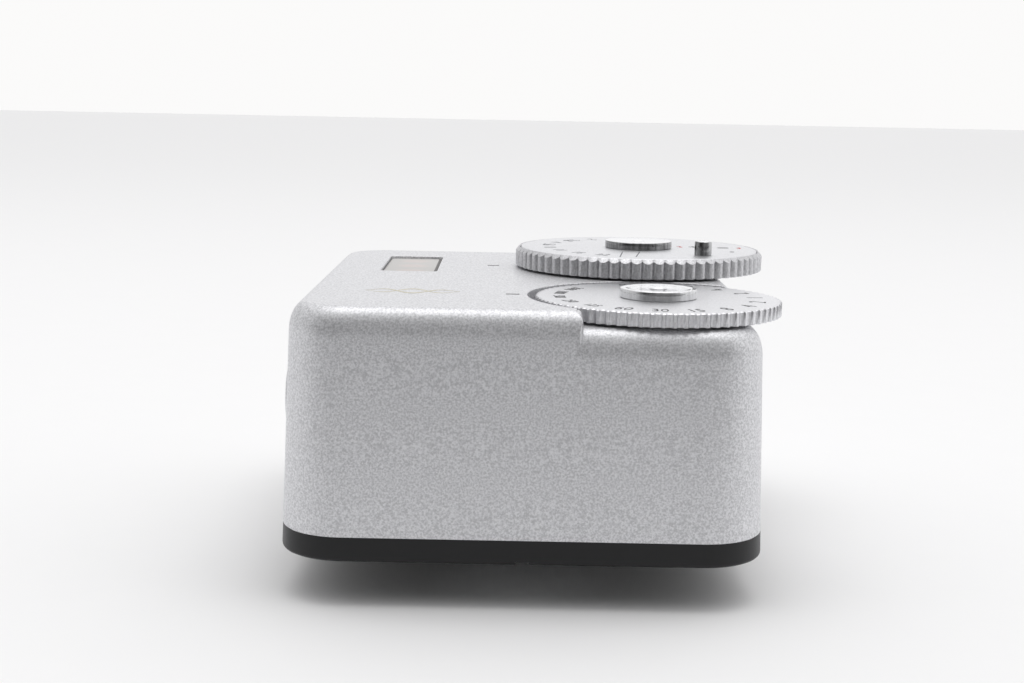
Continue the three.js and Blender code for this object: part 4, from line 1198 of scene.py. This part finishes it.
def measure_key():
    low, high = cad_box("measuring_button")
    middle = cad_middle("measuring_button")
    flange_r = (high.y - low.y) / 2
    span = high.x - low.x
    stem_r, stem, flange = 0.9, 2.15, 1.0
    neck = span - stem - flange
    profile = [(0, 0.22), (1.2, 0.1), (KEY_R - 0.35, 0), (KEY_R, 0), (KEY_R, neck), (flange_r, neck),
               (flange_r, neck + flange), (stem_r, neck + flange), (stem_r, span), (0, span)]
    key = lathe("measure_key", filleted(profile, {2: 0.3, 3: 0.28}), (0, 0), 96)
    lay_along_x(key, low.x, middle.y, middle.z)
    smooth(key)
    settle(key, "measuring_key", "satin_alloy", "satin_alloy", ["measuring_button"])


def light_sensor():
    low, high = cad_box("sensor_bezel")
    middle = cad_middle("sensor_bezel")
    outer = (high.z - low.z) / 2
    depth = high.x - low.x
    inner, throat, back = 2.0, 2.7, 0.4
    profile = [(inner, 0), (outer, 0), (outer, depth), (outer - 0.25, depth), (throat + 0.15, depth - 0.28),
               (throat, back), (inner, back)]
    ring = lathe("sensor_ring", filleted(profile, {2: 0.08, 3: 0.06}), (0, 0), 96, closed=True)
    lay_along_x(ring, low.x, middle.y, middle.z)
    smooth(ring)
    settle(ring, "housing", "black_plastic", stands_for=["sensor_bezel"])
    low, high = cad_box("sensor_lens")
    radius = (high.z - low.z) / 2
    rise = 0.35
    rim = high.x - low.x - rise
    steps = 12
    dome = [(radius * math.cos(i / steps * math.pi / 2), rim + rise * math.sin(i / steps * math.pi / 2))
            for i in range(steps)]
    lens = lathe("sensor_dome", [(0, 0), (radius, 0), *dome, (0, rim + rise)], (0, 0), 96)
    lay_along_x(lens, low.x, middle.y, middle.z)
    smooth(lens, 50)
    settle(lens, "housing", "glass", stands_for=["sensor_lens"])


def shoe():
    """The accessory shoe foot and its neck, with softened edges."""
    low, high = cad_box("shoe_foot")
    corner = 0.8
    x, y = high.x, high.y
    outline = [(x, y - corner), (x - corner, y), (corner - x, y), (-x, y - corner),
               (-x, corner - y), (corner - x, -y), (x - corner, -y), (x, corner - y)]
    foot = prism("shoe_plate", outline, low.z, high.z)
    carve(foot, joined("holes", screw_holes("foot_screw", low.z, high.z + 1)))
    soften(foot, 0.14, 30)
    settle(foot, "housing", "steel", stands_for=["shoe_foot"])
    low, high = cad_box("shoe_neck")
    neck = box("shoe_riser", low, high)
    bores = [prism("bore", circle(SCREW_BORE_R, 24, at), low.z - 1, high.z + 1)
             for at in screw_places("foot_screw")]
    carve(neck, joined("bores", bores))
    soften(neck, 0.06, 40)
    settle(neck, "housing", "steel", stands_for=["shoe_neck"])


def coin_cover():
    """The battery cover: turned face with a coin slot and two bayonet lugs."""
    low, high = cad_box("battery_cover")
    lug_r = (high.x - low.x) / 2
    radius = (high.y - low.y) / 2
    centre = (BATTERY_AXIS.x, BATTERY_AXIS.y)
    lug_height, step_in, face_sink = 0.5, 0.5, 0.06
    disc_top, face = high.z - lug_height, low.z + face_sink
    profile = [(0, face), (radius - 1.2, face), (radius - 1.0, low.z), (radius, low.z),
               (radius, disc_top), (radius - step_in, disc_top), (radius - step_in, high.z), (0, high.z)]
    cover = lathe("coin_cover", filleted(profile, {3: 0.12}), centre, 128)
    for bearing in (0, math.pi):
        outline = sector(radius - 1, lug_r, bearing, LUG_HALF, centre)
        carve(cover, prism("lug", outline, disc_top, high.z), "UNION")
    slot_half_length, slot_half_width, slot_depth = 4, 0.65, 0.7
    slot = rounded_rectangle(slot_half_length, slot_half_width, 0.3, 5, centre)
    carve(cover, prism("slot", slot, low.z - 1, low.z + slot_depth))
    soften(cover, 0.05, 50)
    settle(cover, "battery_door", "steel", "cover_steel", ["battery_cover"])


# ------------------------------------------------------------------ stage
CAMERA_PLACE = (-1.249, -140.68, 39.201)
CAMERA_PITCH = math.radians(8.834)
CAMERA_YAW = math.radians(0.086)
CAMERA_ROLL = math.radians(1.128)
CAMERA_LENS = 55.46


def set_camera():
    """The camera, turned from straight ahead by its pitch, yaw and roll."""
    lens = bpy.data.cameras.new("camera")
    lens.lens = CAMERA_LENS
    lens.sensor_width = 36
    lens.clip_start = 0.002
    lens.clip_end = 20
    camera = linked("camera", lens)
    pitch, yaw = CAMERA_PITCH, CAMERA_YAW
    forward = Vector((math.sin(yaw) * math.cos(pitch), math.cos(yaw) * math.cos(pitch), -math.sin(pitch)))
    level = Vector((math.cos(yaw), -math.sin(yaw), 0))
    rise = level.cross(forward)
    right = level * math.cos(CAMERA_ROLL) + rise * math.sin(CAMERA_ROLL)
    up = rise * math.cos(CAMERA_ROLL) - level * math.sin(CAMERA_ROLL)
    turn = Matrix((right, up, -forward)).transposed().to_4x4()
    camera.matrix_world = Matrix.Translation(Vector(CAMERA_PLACE) * MM) @ turn
    bpy.context.scene.camera = camera


def add_light(name, power, size, place, aim):
    data = bpy.data.lights.new(name, "AREA")
    data.shape = "RECTANGLE"
    data.size, data.size_y = size
    data.energy = power
    turn = (Vector(aim) - Vector(place)).to_track_quat("-Z", "Y").to_matrix().to_4x4()
    linked(name, data).matrix_world = Matrix.Translation(place) @ turn


def studio_world():
    """A white sweep for the camera, and for the light a surround that is darker on the near side."""
    world = bpy.data.worlds.new("studio")
    bpy.context.scene.world = world
    world.use_nodes = True
    g = Graph(world.node_tree)
    background = world.node_tree.nodes["Background"]
    seen = g.add("ShaderNodeLightPath", output="Is Camera Ray")
    direction = g.add("ShaderNodeTexCoord", output="Generated")
    x, y, z = g.split(direction)
    near = (0 - y).between(0.05, 0.75)
    overhead = z.between(0.45, 0.9)
    level = 1.0 - near * 0.76 + overhead * 0.35 + x * 0.14 - x.size() * 0.12
    around = g.add("ShaderNodeCombineColor", inputs={"Red": level, "Green": level, "Blue": level * 1.01})
    colour = g.mix(seen, around, (0.965, 0.96, 0.955))
    g.tree.links.new(colour.socket, background.inputs["Color"])
    background.inputs["Strength"].default_value = 1.0


def pale_floor():
    """Pale paper as the camera sees it. The light it throws on the meter gets darker to the near side."""
    half = 2500
    floor = piece("floor", [(sx * half, sy * half, 0) for sx, sy in SQUARE], [(0, 1, 2, 3)])
    m = Material("floor_paper")
    fibre = m.noise(m.place(), 6.0, detail=3.0)
    paper = m.mix(fibre, (0.875, 0.872, 0.868), (0.885, 0.882, 0.878))
    near = (0 - m.split(m.place())[1]).between(0.02, 0.28)
    bounce = m.mix(near, (0.92, 0.92, 0.925), (0.14, 0.14, 0.145))
    seen = m.add("ShaderNodeLightPath", output="Is Camera Ray")
    m.surface(Base_Color=m.mix(seen, bounce, paper), Roughness=0.9)
    floor.data.materials.append(m.material)


# ------------------------------------------------------------------ operators
class METER_OT_frame(bpy.types.Operator):
    """Makes the finishes, and gives each frame node the finish of its slot in place of its plain one"""
    bl_idname = "meter.frame"
    bl_label = "Finishes"

    def execute(self, context):
        for plain in list(bpy.data.materials):
            bpy.data.materials.remove(plain)
        make_finishes()
        for part in frame["record"]["subparts"]:
            dress(frame["nodes"][part["node"]], part["material_slot"])
        for node in ("lower_cell", "upper_cell"):
            dress(frame["nodes"][node], "nickel")
        return {"FINISHED"}


class METER_OT_housing(bpy.types.Operator):
    """Builds the painted housing and the black base plate"""
    bl_idname = "meter.housing"
    bl_label = "Housing"

    def execute(self, context):
        settle(housing_shell(), "housing", "silver_paint", stands_for=["top_housing"])
        settle(base_tray(), "housing", "black_plastic", stands_for=["base_plate"])
        return {"FINISHED"}


class METER_OT_shoe(bpy.types.Operator):
    """Builds the accessory shoe foot, the screws and the battery cover"""
    bl_idname = "meter.shoe"
    bl_label = "Shoe and Fasteners"

    def execute(self, context):
        shoe()
        cross_screws("base_screws", "base_screw")
        cross_screws("foot_screws", "foot_screw")
        coin_cover()
        return {"FINISHED"}


class METER_OT_aperture_dial(bpy.types.Operator):
    """Builds the toothed aperture ring, the film speed plate, its pin and the cap"""
    bl_idname = "meter.aperture_dial"
    bl_label = "Aperture Dial"

    def execute(self, context):
        aperture_rim()
        film_plate()
        hub_cap("aperture_hub_cap", "aperture_cap", APERTURE_AXIS, "aperture_dial", "aperture_polish")
        aperture_numbers()
        return {"FINISHED"}


class METER_OT_shutter_dial(bpy.types.Operator):
    """Builds the scalloped shutter disc, its numbers and the cap"""
    bl_idname = "meter.shutter_dial"
    bl_label = "Shutter Dial"

    def execute(self, context):
        shutter_wheel()
        hub_cap("shutter_hub_cap", "shutter_cap", SHUTTER_AXIS, "shutter_dial", "shutter_polish")
        shutter_numbers()
        return {"FINISHED"}


class METER_OT_details(bpy.types.Operator):
    """Builds the lamp window, the measuring key, the light sensor and the ornament"""
    bl_idname = "meter.details"
    bl_label = "Window, Key and Sensor"

    def execute(self, context):
        read_out_pane()
        measure_key()
        light_sensor()
        deck_ornament()
        return {"FINISHED"}


class METER_OT_stage(bpy.types.Operator):
    """Sets the camera, the lights and the pale floor"""
    bl_idname = "meter.stage"
    bl_label = "Stage"

    def execute(self, context):
        set_camera()
        studio_world()
        pale_floor()
        add_light("top_light", power=0.55, size=(0.5, 0.28), place=(0.0, -0.02, 0.55), aim=(0, -0.01, 0.02))
        context.scene.view_settings.view_transform = "Standard"
        return {"FINISHED"}


class METER_PT_panel(bpy.types.Panel):
    bl_label = "Exposure Meter"
    bl_idname = "METER_PT_panel"
    bl_space_type = "VIEW_3D"
    bl_region_type = "UI"
    bl_category = "Meter"

    def draw(self, context):
        for settings in (context.scene.meter_sizes, context.scene.meter_colours):
            column = self.layout.column(align=True)
            for name in settings.__annotations__:
                column.prop(settings, name)
        for operator in OPERATORS:
            self.layout.operator(operator.bl_idname)


OPERATORS = (METER_OT_frame, METER_OT_housing, METER_OT_shoe, METER_OT_aperture_dial,
             METER_OT_shutter_dial, METER_OT_details, METER_OT_stage)
CLASSES = (MeterSizes, MeterColours, *OPERATORS, METER_PT_panel)


def register():
    for cls in CLASSES:
        bpy.utils.register_class(cls)
    bpy.types.Scene.meter_sizes = PointerProperty(type=MeterSizes)
    bpy.types.Scene.meter_colours = PointerProperty(type=MeterColours)


def unregister():
    del bpy.types.Scene.meter_colours
    del bpy.types.Scene.meter_sizes
    for cls in reversed(CLASSES):
        bpy.utils.unregister_class(cls)


def main():
    register()
    bpy.ops.meter.frame()
    bpy.ops.meter.housing()
    bpy.ops.meter.shoe()
    bpy.ops.meter.aperture_dial()
    bpy.ops.meter.shutter_dial()
    bpy.ops.meter.details()
    bpy.ops.meter.stage()


if __name__ == "__main__":
    main()
